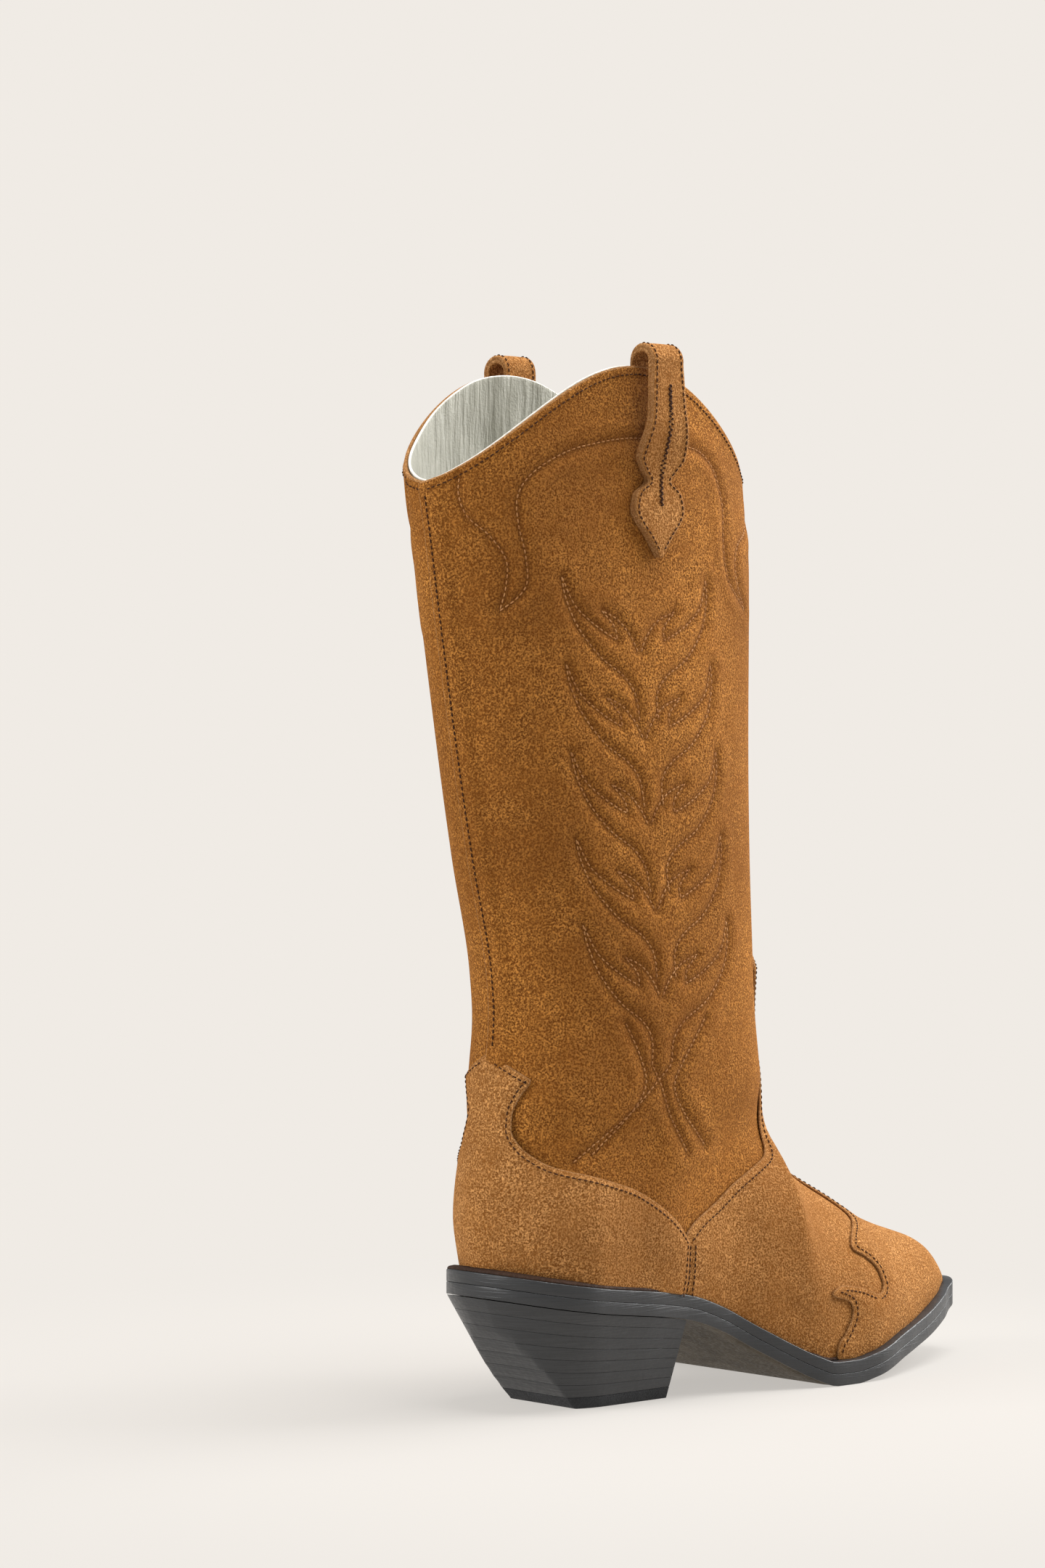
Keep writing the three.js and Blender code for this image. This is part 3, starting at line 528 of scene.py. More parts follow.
def pattern_distance(s):
    """How far each place lies from the nearest line of the pattern."""
    near = np.full(s.z.shape, 1e3)
    touched = (s.from_back > 5) & (s.z > PATTERN_LOW) & (s.z < PATTERN_HIGH)
    u, v = s.from_back[touched], s.z[touched]
    found = np.full(u.shape, 1e3)
    for line in PATTERN:
        close = (np.abs(u - line[:, 0].mean()) < 70) & (np.abs(v - line[:, 1].mean()) < 50)
        found[close] = np.minimum(found[close], distance_to(line, u[close], v[close]))
    near[touched] = found
    return near


def creases(s):
    """Soft folds round the ankle, deepest at the front and the back of it."""
    fold = np.sin((s.z + 7 * np.sin(s.from_back / 21)) / CREASE_PITCH)
    where = ramp(s.z, 84, 108) * (1 - ramp(s.z, 128, 158))
    sides = 0.35 + 0.65 * ramp(np.abs(s.from_back - ANKLE_SIDE), 25, 80)
    return CREASE_DEPTH * fold * where * sides


def waviness(s):
    """The slow unevenness of soft leather, which dies out at the seams and the top line."""
    slow = np.sin(s.z / 31 + s.from_back / 47) * np.sin(s.sign * s.from_back / 26 + 1.3)
    flat_top = 1 - ramp(s.z, 330, 350)
    return WAVE_DEPTH * slow * ramp(s.z, 120, 170) * flat_top * ramp(s.from_front, 0, 25)


def shaft_relief(s):
    away = pattern_distance(s)
    channel = CHANNEL_DEPTH * np.exp(-(away / CHANNEL_WIDTH) ** 2)
    puff = PUFF_HEIGHT * np.exp(-((away - PUFF_PLACE) / PUFF_WIDTH) ** 2)
    return puff - channel + creases(s) + waviness(s)


# Painted shade in the stitched channels, partly the darker pressed nap: 1 on a pattern line,
# falling away from it.
def pressed_nap_shade(s):
    return np.exp(-(pattern_distance(s) / PRESSED_SHADE_WIDTH) ** 2)


print("channel depth %.1f, crease depth %.2f" % (CHANNEL_DEPTH, CREASE_DEPTH))


# %% [markdown]
# ## Cutting a leather piece from the net
#
# Net points next to a cut edge slide onto it, so the edge is a clean line rather than a
# staircase. The outer face is then copied inward by the leather's thickness, and a rounded
# rim of four narrow rings closes the edge, as a knife and a little wear leave it. A Solidify
# modifier could add thickness, but not this soft rim or a thickness that varies.

# %% Slide points onto a cut edge
def snapped(values, tests):
    """Slides net points onto the zero line of the tests, and says which points are in."""
    values = values.copy()
    inside = tests > 0
    best = np.full(tests.shape, 0.5)
    moved = values.copy()
    on_line = np.zeros(tests.shape, bool)
    for axis, step in ((0, 1), (0, -1), (1, 1), (1, -1)):
        other = np.roll(tests, -step, axis)
        other_values = np.roll(values, -step, axis)
        crosses = inside != (other > 0)
        if axis == 0:
            crosses[-1 if step > 0 else 0] = False
        t = np.where(crosses, tests / np.where(crosses, tests - other, 1), 1)
        take = crosses & (t < best + 1e-9)
        moved[take] = values[take] + (other_values[take] - values[take]) * t[take][:, None]
        best[take] = t[take]
        on_line |= take
    return moved, inside | on_line, inside & ~on_line


# %% Faces and their boundary
def cut_faces(kept, deep):
    """Faces of the kept net points, where at least one corner lies deeper than the edge."""
    rows, ring = kept.shape
    row, column = np.meshgrid(np.arange(rows - 1), np.arange(ring), indexing="ij")
    right = (column + 1) % ring
    corners = np.stack([row * ring + column, row * ring + right,
                        (row + 1) * ring + right, (row + 1) * ring + column], -1).reshape(-1, 4)
    kept, deep = kept.ravel(), deep.ravel()
    count = kept[corners].sum(1)
    has_deep = deep[corners].any(1)
    faces = [tuple(face) for face in corners[(count == 4) & has_deep]]
    for face in corners[(count == 3) & has_deep]:
        faces.append(tuple(face[kept[face]]))
    return faces


def boundary_edges(faces):
    """Edges that only one face has, in the direction that the face runs."""
    edges = {}
    for face in faces:
        for a, b in zip(face, face[1:] + face[:1]):
            if (b, a) in edges:
                del edges[(b, a)]
            else:
                edges[(a, b)] = True
    return list(edges)


def ring_faces(rings, count, closed=False):
    """Faces between neighbouring rings of points, and from the last to the first if closed."""
    faces = []
    for ring in range(rings if closed else rings - 1):
        low, high = ring * count, (ring + 1) % rings * count
        for k in range(count):
            m = (k + 1) % count
            faces.append((low + k, low + m, high + m, high + k))
    return faces


print("faces of a cube's sides:", len(ring_faces(2, 4)))

# %% Put pieces in the scene
def add_object(name, data):
    piece = bpy.data.objects.new(name, data)
    bpy.context.scene.collection.objects.link(piece)
    return piece


def new_mesh(name, points, faces, materials, face_slots=None):
    """A smooth piece from millimetres. Face slots say which material each face takes."""
    mesh = bpy.data.meshes.new(name)
    places = (np.asarray(points) * 0.001).tolist()
    mesh.from_pydata(places, [], [list(map(int, face)) for face in faces])
    for material in materials:
        mesh.materials.append(material)
    if face_slots is not None:
        mesh.polygons.foreach_set("material_index", np.asarray(face_slots, np.int32))
    mesh.polygons.foreach_set("use_smooth", np.full(len(faces), True))
    mesh.validate()
    return add_object(name, mesh)


def settle(piece, slot, *nodes):
    """Fixes a piece to the boot, and hides the solids that it stands for."""
    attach(piece, "root")
    if nodes:
        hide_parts(*nodes)


# %% Close a face into a shell
# Each rim ring: how far it stands out, and its share of the way from outer to inner face.
RIM = [(0.28, 0.1), (0.42, 0.34), (0.42, 0.66), (0.28, 0.9)]


def away_from_edge(points, normal, rim):
    """Directions that point out of the piece, along its surface, at its boundary."""
    away = np.zeros((len(points), 3))
    for a, b in rim:
        out = unit(np.cross(points[b] - points[a], normal[a]))
        away[a] += out
        away[b] += out
    return unit(away)


def shell(points, inner_points, normals, faces, thickness, bulge=1.0):
    """Closes an open face into a shell with a rounded rim. The last result is the points used."""
    used = np.unique(np.concatenate([np.array(f) for f in faces]))
    number = {int(old): new for new, old in enumerate(used)}
    outer, inner = points[used], inner_points[used]
    count = len(used)
    outer_faces = [tuple(number[int(i)] for i in f) for f in faces]
    all_faces = outer_faces + [tuple(i + count for i in reversed(f)) for f in outer_faces]
    slots = [0] * len(all_faces)
    rim = boundary_edges(outer_faces)
    edge = sorted({i for pair in rim for i in pair})
    away = away_from_edge(outer, normals[used], rim)[edge]
    all_points = [outer, inner]
    rings = []
    for out, share in RIM:
        start = 2 * count + len(rings) * len(edge)
        rings.append({i: start + k for k, i in enumerate(edge)})
        ring = outer[edge] * (1 - share) + inner[edge] * share
        all_points.append(ring + away * out * thickness * bulge)
    rings.append({i: i + count for i in edge})
    previous = {i: i for i in edge}
    for ring in rings:
        all_faces += [(previous[b], previous[a], ring[a], ring[b]) for a, b in rim]
        slots += [1] * len(rim)
        previous = ring
    return np.vstack(all_points), all_faces, slots, used


# %% Cut a piece
SKIVE_REACH = 5


def skived(edge, amount):
    """How much thinner the leather is pared near its cut edge."""
    return amount * (1 - ramp(edge, 0, SKIVE_REACH))


def leather_piece(name, outer_depth, thickness, tests, materials, relief=None, bulge=1.0,
                  skive=0.0, press_and_shade=None):
    """A piece of leather. Its tests cut it out, the last one being the welt's."""
    values = np.min([test(Spot(NET)) for test in tests], axis=0)
    moved, kept, deep = snapped(NET, values)
    spot = Spot(moved.reshape(-1, moved.shape[-1]))
    base, normals = spot.data[:, :3], unit(spot.normal)
    depth = outer_depth(spot)
    shape = relief(spot) if relief else np.zeros(len(depth))
    edge = np.min([test(spot) for test in tests[:-1]], axis=0)
    outer = base + normals * (depth + shape - skived(edge, skive))[:, None]
    inner = base + normals * (depth + np.minimum(shape, 0) - thickness)[:, None]
    faces = cut_faces(kept, deep)
    points, all_faces, slots, used = shell(outer, inner, normals, faces, thickness, bulge)
    piece = new_mesh(name, points, all_faces, materials, slots)
    # The pressed attribute holds painted shade for the stitched channels, partly darker pressed
    # nap.
    if press_and_shade:
        marks = np.zeros(len(points), np.float32)
        marks[:len(used)] = press_and_shade(spot)[used]
        piece.data.attributes.new("pressed", "FLOAT", "POINT").data.foreach_set("value", marks)
    print("%-20s %6d faces" % (name, len(all_faces)))
    return piece


# %% [markdown]
# ## Shared surface effects
#
# Suede, lining, edges and hidden parts all need fine grain, slow blotches of colour and a
# little dirt, so those are two node groups, each with its own sizes as inputs. The shaders
# stay in the materials. Noise read from object places, in metres, keeps one scale on every
# piece, and needs no unwrapping.

# %% Node helpers
def set_inputs(tree, node, inputs):
    """Links an input that is given a socket, and sets any other to the number or colour."""
    for label, value in inputs.items():
        if isinstance(value, bpy.types.NodeSocket):
            tree.links.new(value, node.inputs[label])
        else:
            node.inputs[label].default_value = value


def add_node(tree, kind, inputs, **settings):
    node = tree.nodes.new(kind)
    for label, value in settings.items():
        setattr(node, label, value)
    set_inputs(tree, node, inputs)
    return node


def add_noise(tree, place, scale, detail, rough=0.5):
    return add_node(tree, "ShaderNodeTexNoise", {"Vector": place, "Scale": scale,
                    "Detail": detail, "Roughness": rough}).outputs["Fac"]


def add_math(tree, operation, *values):
    node = add_node(tree, "ShaderNodeMath", dict(enumerate(values)), operation=operation)
    return node.outputs[0]


def stretched(tree, factors=(1.0, 1.0, 1.0)):
    """Object places, stretched by a factor along each axis."""
    place = tree.nodes.new("ShaderNodeTexCoord").outputs["Object"]
    mapping = add_node(tree, "ShaderNodeMapping", {"Vector": place, "Scale": factors})
    return mapping.outputs["Vector"]


def contrast(tree, value, low, high):
    return add_node(tree, "ShaderNodeMapRange", {"Value": value, "From Min": low,
                    "From Max": high}).outputs["Result"]


# %% Node groups
def new_group(name, inputs, outputs):
    """An empty group of number sockets, with the nodes where it is entered and left."""
    group = bpy.data.node_groups.new(name, "ShaderNodeTree")
    kind = "NodeSocketFloat"
    for label, value in inputs.items():
        socket = group.interface.new_socket(label, in_out="INPUT", socket_type=kind)
        socket.default_value = value
    for label in outputs:
        group.interface.new_socket(label, in_out="OUTPUT", socket_type=kind)
    enter = group.nodes.new("NodeGroupInput")
    return group, enter.outputs, group.nodes.new("NodeGroupOutput")


def build_nap():
    """Short brushed fibres: fine speckle, brushed patches and slow colour drift."""
    group, sizes, leave = new_group(
        "nap", {"Fibre Scale": 1150.0, "Patch Scale": 95.0, "Drift Scale": 16.0},
        ["Speckle", "Patch", "Drift", "Height"])
    place = stretched(group)
    fibre = add_noise(group, place, sizes["Fibre Scale"], 2.5, 0.65)
    patch = add_noise(group, place, sizes["Patch Scale"], 3.0, 0.6)
    drift = add_noise(group, place, sizes["Drift Scale"], 2.0, 0.5)
    speckle = contrast(group, fibre, 0.4, 0.6)
    set_inputs(group, leave, {
        "Speckle": speckle, "Patch": contrast(group, patch, 0.3, 0.7),
        "Drift": contrast(group, drift, 0.32, 0.68),
        "Height": add_math(group, "MULTIPLY_ADD", speckle, 0.8, patch)})
    return group


def build_streaks():
    """Fine lines along one way, as between pressed or stacked layers."""
    group, sizes, leave = new_group("streaks", {"Line Scale": 900.0, "Speck Scale": 420.0},
                                    ["Lines", "Specks"])
    lines = add_noise(group, stretched(group, (0.035, 0.035, 1.0)), sizes["Line Scale"], 2.0)
    specks = add_noise(group, stretched(group), sizes["Speck Scale"], 3.0)
    set_inputs(group, leave, {"Lines": contrast(group, lines, 0.35, 0.65),
                              "Specks": contrast(group, specks, 0.3, 0.7)})
    return group


NAP = build_nap()
STREAKS = build_streaks()
print("node groups:", NAP.name, STREAKS.name)

# %% [markdown]
# ## Materials
#
# Suede is matte with a soft sheen where its fibres catch light from the side. Its colour is
# mixed from three tans by the nap's speckle, patches and drift, and it darkens where a
# stitched channel presses the nap down: partly darker pressed nap, partly painted shade in
# the channel. Smooth leathers use the same groups with other sizes, lower roughness and a
# weaker bump.

# %% Material helpers
def linear(red, green, blue):
    """A screen colour, 0 to 255, as the linear colour that a shader takes."""
    parts = np.array([red, green, blue]) / 255
    low, high = parts / 12.92, ((parts + 0.055) / 1.055) ** 2.4
    return (*np.where(parts <= 0.04045, low, high).tolist(), 1.0)


def new_material(name, inputs):
    """A material, its node tree and its shader, whose constants are set on its own sockets."""
    material = bpy.data.materials.new(name)
    material.use_nodes = True
    tree = material.node_tree
    shader = tree.nodes["Principled BSDF"]
    set_inputs(tree, shader, inputs)
    return material, tree, shader


def place_group(tree, group, inputs):
    return add_node(tree, "ShaderNodeGroup", inputs, node_tree=group).outputs


def mix_colours(tree, share, a, b):
    mix = tree.nodes.new("ShaderNodeMix")
    mix.data_type = "RGBA"
    set_inputs(tree, mix, {0: share, 6: a, 7: b})
    return mix.outputs[2]


def finish_shader(tree, shader, colour, rough, height, distance, strength=1.0):
    bump = add_node(tree, "ShaderNodeBump", {"Height": height, "Distance": distance,
                                             "Strength": strength})
    set_inputs(tree, shader, {"Base Color": colour, "Roughness": rough,
                              "Normal": bump.outputs["Normal"]})


# %% Suede
# Colour of the stitched channels: painted shade, partly the darker pressed nap.
PRESSED_SHADE_COLOUR = linear(88, 48, 18)


def suede_material(name, dark, mid, light, drift_to, fibre=1350.0):
    material, tree, shader = new_material(name, {
        "Roughness": 0.92, "Sheen Weight": 0.3, "Sheen Roughness": 0.5,
        "Sheen Tint": linear(232, 160, 86), "Specular IOR Level": 0.12})
    nap = place_group(tree, NAP, {"Fibre Scale": fibre, "Patch Scale": 95.0,
                                  "Drift Scale": 16.0})
    colour = mix_colours(tree, nap["Speckle"], linear(*dark), linear(*light))
    patched = add_math(tree, "MULTIPLY", nap["Patch"], 0.5)
    colour = mix_colours(tree, patched, colour, linear(*mid))
    drifted = add_math(tree, "MULTIPLY", nap["Drift"], 0.55)
    colour = mix_colours(tree, drifted, colour, linear(*drift_to))
    # Painted shade in the stitched channels, partly pressed nap, mixed in by the pressed
    # attribute.
    pressed = add_node(tree, "ShaderNodeAttribute", {}, attribute_name="pressed")
    shade = add_math(tree, "MULTIPLY", pressed.outputs["Fac"], 0.5)
    colour = mix_colours(tree, shade, colour, PRESSED_SHADE_COLOUR)
    rough = add_math(tree, "MULTIPLY_ADD", nap["Speckle"], -0.12, 0.98)
    finish_shader(tree, shader, colour, rough, nap["Height"], 0.0005)
    return material


SUEDE = suede_material("suede", (91, 48, 11), (148, 88, 28), (219, 149, 70), (111, 62, 16))
# Paler than the shaft's suede, and paler still as painted light for the top-lit toe.
SUEDE_FOOT = suede_material("suede_foot", (108, 63, 23), (166, 108, 50), (236, 173, 106),
                            (133, 81, 32))
SUEDE_EDGE = suede_material("suede_edge", (126, 80, 38), (172, 122, 72), (212, 162, 110),
                            (148, 100, 54), fibre=1700.0)
print("suedes:", SUEDE.name, SUEDE_FOOT.name, SUEDE_EDGE.name)

# %% Lining leather
def lining_material():
    material, tree, shader = new_material("lining_leather", {"Roughness": 0.55,
                                                             "Specular IOR Level": 0.35})
    nap = place_group(tree, NAP, {"Fibre Scale": 900.0, "Patch Scale": 60.0,
                                  "Drift Scale": 12.0})
    long_places = stretched(tree, (1.0, 1.0, 0.12))
    folds = contrast(tree, add_noise(tree, long_places, 260.0, 3.0, 0.55), 0.35, 0.62)
    base = mix_colours(tree, nap["Patch"], linear(160, 158, 144), linear(178, 176, 162))
    # Painted shade: the lining darkens in the low parts of its folds.
    fold_shade = add_math(tree, "MULTIPLY_ADD", folds, -0.16, 0.16)
    colour = mix_colours(tree, fold_shade, base, linear(120, 118, 104))
    rough = add_math(tree, "MULTIPLY_ADD", nap["Speckle"], 0.15, 0.48)
    height = add_math(tree, "MULTIPLY_ADD", nap["Speckle"], 0.12, folds)
    finish_shader(tree, shader, colour, rough, height, 0.0004)
    return material


LINING_FACE = lining_material()
print("lining:", LINING_FACE.name)

# %% Dyed edges and plain finishes
def edge_material(name, dark, light, rough, bump):
    """Dyed and waxed edge of stacked leather."""
    material, tree, shader = new_material(name, {
        "Roughness": rough, "Specular IOR Level": 0.5, "Coat Weight": 0.12,
        "Coat Roughness": 0.35})
    streaks = place_group(tree, STREAKS, {"Line Scale": 1500.0, "Speck Scale": 500.0})
    share = add_math(tree, "MULTIPLY", streaks["Lines"], 0.5)
    colour = mix_colours(tree, share, linear(*light), linear(*dark))
    worn = add_math(tree, "MULTIPLY_ADD", streaks["Specks"], 0.14, rough - 0.05)
    height = add_math(tree, "MULTIPLY_ADD", streaks["Specks"], 0.4, streaks["Lines"])
    finish_shader(tree, shader, colour, worn, height, bump, 0.6)
    return material


def plain_material(name, dark, light, rough, metallic=0.0, bump=0.0002, fibre=700.0):
    material, tree, shader = new_material(name, {"Roughness": rough, "Metallic": metallic,
                                                 "Specular IOR Level": 0.3})
    nap = place_group(tree, NAP, {"Fibre Scale": fibre, "Patch Scale": 120.0,
                                  "Drift Scale": 20.0})
    colour = mix_colours(tree, nap["Patch"], linear(*dark), linear(*light))
    uneven = add_math(tree, "MULTIPLY_ADD", nap["Speckle"], 0.2, rough - 0.1)
    finish_shader(tree, shader, colour, uneven, nap["Height"], bump)
    return material


LINING_EDGE = plain_material("lining_edge", (206, 202, 192), (232, 229, 221), 0.7)
WELT_EDGE = edge_material("welt_edge", (25, 26, 27), (42, 43, 45), 0.40, 0.00012)
HEEL_EDGE = edge_material("heel_edge", (25, 26, 27), (43, 44, 46), 0.42, 0.0002)
UNDERSIDE = plain_material("sole_underside", (68, 60, 48), (92, 83, 69), 0.6)
RUBBER = plain_material("top_lift_rubber", (30, 31, 33), (46, 47, 50), 0.6, fibre=1400.0)
THREAD = plain_material("thread", (176, 116, 62), (214, 156, 98), 0.7, fibre=2600.0)
THREAD_DARK = plain_material("thread_dark", (52, 26, 8), (80, 44, 16), 0.85, fibre=2600.0)
# Dark brown of the welt bead: painted shade for the gap between the suede and the welt.
WELT_GAP_SHADE = plain_material("welt_gap_shade", (40, 24, 14), (60, 38, 24), 0.8)
STEEL = plain_material("spring_steel", (150, 152, 154), (176, 178, 180), 0.35, metallic=1.0)
CORK = plain_material("ground_cork", (92, 58, 32), (140, 96, 60), 0.9, bump=0.0008)
BOARD = plain_material("fibre_board", (140, 112, 78), (168, 140, 102), 0.85)
STIFF = plain_material("stiffener_sheet", (168, 140, 104), (192, 166, 130), 0.8)
print("materials:", len(bpy.data.materials))

# %% [markdown]
# ## The shaft
#
# Each shaft half is one piece of suede from the back seam to the front seam, cut along the
# scalloped top line and running on under the vamp. At the centre back the outer half laps
# over the inner one, so it steps outward there and its raw edge shows as a pale line.

# %% Shaft halves
LAP_RISE = UPPER + 0.25
LAP_OVER, LAP_UNDER = 0.6, 5.0
LAP_FALL = (5.4, 11)


def shaft_tests(side):
    def within(s):
        edge = np.minimum(s.from_back, s.from_front)
        return np.where(s.sign * side > 0, edge, -edge) + (LAP_OVER if side > 0 else LAP_UNDER)
    return [within, lambda s: top_line(s) - s.z,
            lambda s: np.maximum(above_edge(s), behind_seam(s)), above_welt]


def over_lap(s):
    """The outer half rides over the inner half along the back and the front seam."""
    edge = np.minimum(s.from_back, s.from_front)
    return LAP_RISE * np.where(s.sign > 0, 1 - ramp(edge, *LAP_FALL), 1)


for side, label, lap in ((1, "outer", over_lap), (-1, "inner", lambda s: 0)):
    piece = leather_piece(label + "_shaft_suede", lambda s: -heel_depth(s) + lap(s), UPPER,
                          shaft_tests(side), [SUEDE, SUEDE_EDGE], shaft_relief,
                          press_and_shade=pressed_nap_shade)
    settle(piece, "upper_suede", "shaft_%s_half" % label)

# %% [markdown]
# ## Linings
#
# The lining follows the inside of the suede. Its top edge is trimmed a little proud of the
# suede, so a thin white line of cut leather shows all round the top. Slanting
# wrinkles give it the look of thin leather pulled over a form, and it swells over the sewn
# end of each pull strap.

# %% Lining pieces
LINING_PROUD = 0.7
WRINKLE_DEPTH = 0.16
STRAP_PLY = 1.3
STRAP_PLACE = (LOOP_LOW[1] + LOOP_HIGH[1]) / 2
STRAP_HALF = (LOOP_HIGH[1] - LOOP_LOW[1]) / 2


def lining_folds(s):
    """Fine slanting wrinkles, and the swelling over the sewn end of each pull strap."""
    lean = s.from_back * 0.9 - s.z * 0.45
    wrinkle = WRINKLE_DEPTH * np.sin(lean / 2.6 + 2 * np.sin(s.z / 37)) * ramp(s.z, 110, 200)
    over = 1 - ramp(np.abs(s.y - STRAP_PLACE), STRAP_HALF + 1, STRAP_HALF + 12)
    return wrinkle - (STRAP_PLY + GAP) * over * ramp(s.z, TOP_PEAK - 34, TOP_PEAK - 26)


def lining_depth(s):
    return lining_outer(s) + lining_folds(s)


def behind_forefoot(s):
    return -np.minimum(s.y - LINING_Y, LINING_Z - s.z)


def lining_tests(side):
    return [side_test(side), lambda s: top_line(s) + LINING_PROUD - s.z, behind_forefoot,
            above_welt]


for side, label in ((1, "outer"), (-1, "inner")):
    piece = leather_piece(label + "_shaft_lining", lining_depth, LINING, lining_tests(side),
                          [LINING_FACE, LINING_EDGE])
    settle(piece, "lining_leather", "lining_%s_half" % label)
piece = leather_piece("forefoot_lining", lining_outer, LINING,
                      [lambda s: -behind_forefoot(s) - GAP, above_welt],
                      [LINING_FACE, LINING_EDGE])
settle(piece, "lining_leather", "vamp_lining")

# %% [markdown]
# ## Vamp, toe cap and counter cover
#
# These overlays are cut from a slightly paler hide, made paler still as painted light to
# match the top-lit toe. They meet at a seam in front of the heel, the vamp's tongue climbs
# the front of the shaft, and the toe cap ends in a curled edge.
# Soft wrinkles lie across the vamp where the boot has been lasted.

# %% Overlays on the foot
OVERLAY_SKIVE = 0.75


def foot_softness(s):
    slow = np.sin(s.y / 17 + s.z / 11) * np.sin(s.sign * s.from_front / 23 + 0.7)
    return 0.22 * slow * ramp(s.from_back, 0, 20) + creases(s) + waviness(s)


def counter_edge(s):
    return counter_reach(s.z) - s.from_back - GAP


def vamp_edge(s):
    return vamp_reach(s.z) - s.from_front


def vamp_back(s):
    return s.from_back - seam_round(s.z) - GAP


OVERLAYS = [
    ("vamp_suede", "vamp", lambda s: vamp_inner(s) + UPPER, [vamp_edge, vamp_back]),
    ("toe_cap_suede", "toe_cap", lambda s: vamp_inner(s) + 2 * UPPER + GAP, [cap_test]),
    ("counter_cover_suede", "counter_cover", lambda s: cover_inner(s) + UPPER, [counter_edge])]
for name, node, depth, tests in OVERLAYS:
    piece = leather_piece(name, depth, UPPER, [*tests, above_welt], [SUEDE_FOOT, SUEDE_EDGE],
                          foot_softness, 0.7, OVERLAY_SKIVE)
    settle(piece, "upper_suede", node)

# %% [markdown]
# ## Stitching
#
# A stitch is a short piece of thread that comes out of one hole and dives into the next. Each
# one is a tiny closed tube, thick in the middle and thin at its ends, laid along a seam line
# on the surface. Curves with a bevel would also do, but separate stitches catch the light as
# thread does. All the stitches of one seam family are joined into one piece.

# %% One run of stitches
STITCH = 1.55
STITCH_SPACE = 0.8
THREAD_RADIUS = 0.3
# Each ring of a stitch: its share of the length, its lift and its thickness, in radii.
STITCH_SHAPE = [(0.0, -0.5, 0.55), (0.16, 0.25, 0.95), (0.5, 0.5, 1.0), (0.84, 0.25, 0.95),
                (1.0, -0.5, 0.55)]
SIDES = 6
STITCH_POINTS = len(STITCH_SHAPE) * SIDES
STITCH_FACES = ring_faces(len(STITCH_SHAPE), SIDES)
STITCH_FACES += [tuple(reversed(range(SIDES))),
                 tuple(range(STITCH_POINTS - SIDES, STITCH_POINTS))]


def stitches_on(points, normals, pitch=STITCH + STITCH_SPACE, length=STITCH,
                radius=THREAD_RADIUS):
    """Points of the stitches along one run of points, and how many stitches there are."""
    reached = run_length(points)
    count = max(0, int((reached[-1] - length) // pitch) + 1)
    slack = (reached[-1] - length - (count - 1) * pitch) / 2
    begin = slack + pitch * np.arange(count)
    start, middle, stop = (along_line(begin + share * length, reached, points)
                           for share in (0, 0.5, 1))
    normal = unit(along_line(begin + length / 2, reached, normals))
    side = unit(np.cross(stop - start, normal))
    rings = []
    for share, lift, thick in STITCH_SHAPE:
        centre = start * (1 - share) ** 2 + stop * share ** 2
        centre += 2 * share * (1 - share) * (2 * middle - (start + stop) / 2)
        centre += normal * lift * radius
        for turn in 2 * np.pi * np.arange(SIDES) / SIDES:
            out = math.cos(turn) * normal + math.sin(turn) * side
            rings.append(centre + radius * thick * out)
    return np.stack(rings, 1).reshape(-1, 3), count


def sew(name, runs, material, **options):
    """One piece from many runs, each a pair of points and normals."""
    sewn = [stitches_on(points, normals, **options) for points, normals in runs]
    total = sum(count for _, count in sewn)
    faces = [tuple(i + n * STITCH_POINTS for i in face)
             for n in range(total) for face in STITCH_FACES]
    piece = new_mesh(name, np.vstack([points for points, _ in sewn]), faces, [material])
    print("%-20s %5d stitches" % (name, total))
    return piece


# %% Sew the pattern
def dense(line, spacing=0.6):
    line = np.asarray(line, float)
    reached = run_length(line)
    count = max(2, int(reached[-1] / spacing))
    return along_line(np.linspace(0, reached[-1], count), reached, line)


def on_skin(side, line, depth, front=False):
    """A run on the boot: line holds (distance round, height), depth is a layer rule."""
    line = dense(line)
    spot = net_at(side, line[:, 0], line[:, 1], front)
    normal = unit(spot.normal)
    return spot.data[:, :3] + normal * depth(spot)[:, None], normal


def shaft_face(s):
    return -heel_depth(s) + over_lap(s) * (s.sign > 0) + shaft_relief(s) + 0.12


for side, label in ((1, "outer"), (-1, "inner")):
    runs = [on_skin(side, line, shaft_face) for line in PATTERN]
    settle(sew(label + "_pattern_thread", runs, THREAD), "upper_suede")

# %% Runs along cut edges
EDGE_INSET = 1.8
THREAD_LIFT = 0.08
TOP_INSET = 2.6


def top_run(side):
    share = np.linspace(0.012, 0.988, 170)
    level = SHAFT_HEIGHT + TOP_RISE * np.sin(np.pi * share) ** 1.6 - TOP_INSET
    row = np.clip(np.searchsorted(ROWS, level), 0, len(ROWS) - 1)
    girth = GIRTH[row, 0 if side > 0 else 1]
    return on_skin(side, np.stack([share * girth, level], -1), shaft_face)


def edge_run(side, reach, heights, depth, front=False):
    """Stitches that follow a piece's edge, a little inside it."""
    line = np.stack([reach(heights), heights], -1)
    step = np.gradient(line, axis=0)
    out = unit(np.stack([step[:, 1], -step[:, 0]], -1))
    line = line - out * np.where(out[:, :1] < 0, -1.0, 1.0) * EDGE_INSET
    return on_skin(side, line[line[:, 0] > 1.5], depth, front)


def pared(s, edge):
    """Height of an overlay's face above its inner face, near a cut edge."""
    return UPPER + foot_softness(s) - skived(edge, OVERLAY_SKIVE) + THREAD_LIFT


def counter_face(s):
    return cover_inner(s) + pared(s, counter_edge(s))


def vamp_face(s):
    return vamp_inner(s) + pared(s, np.minimum(vamp_edge(s), vamp_back(s)))


# %% Runs along the toe cap's edge
NEXT_REACH = 3
SHORTEST_RUN = 12


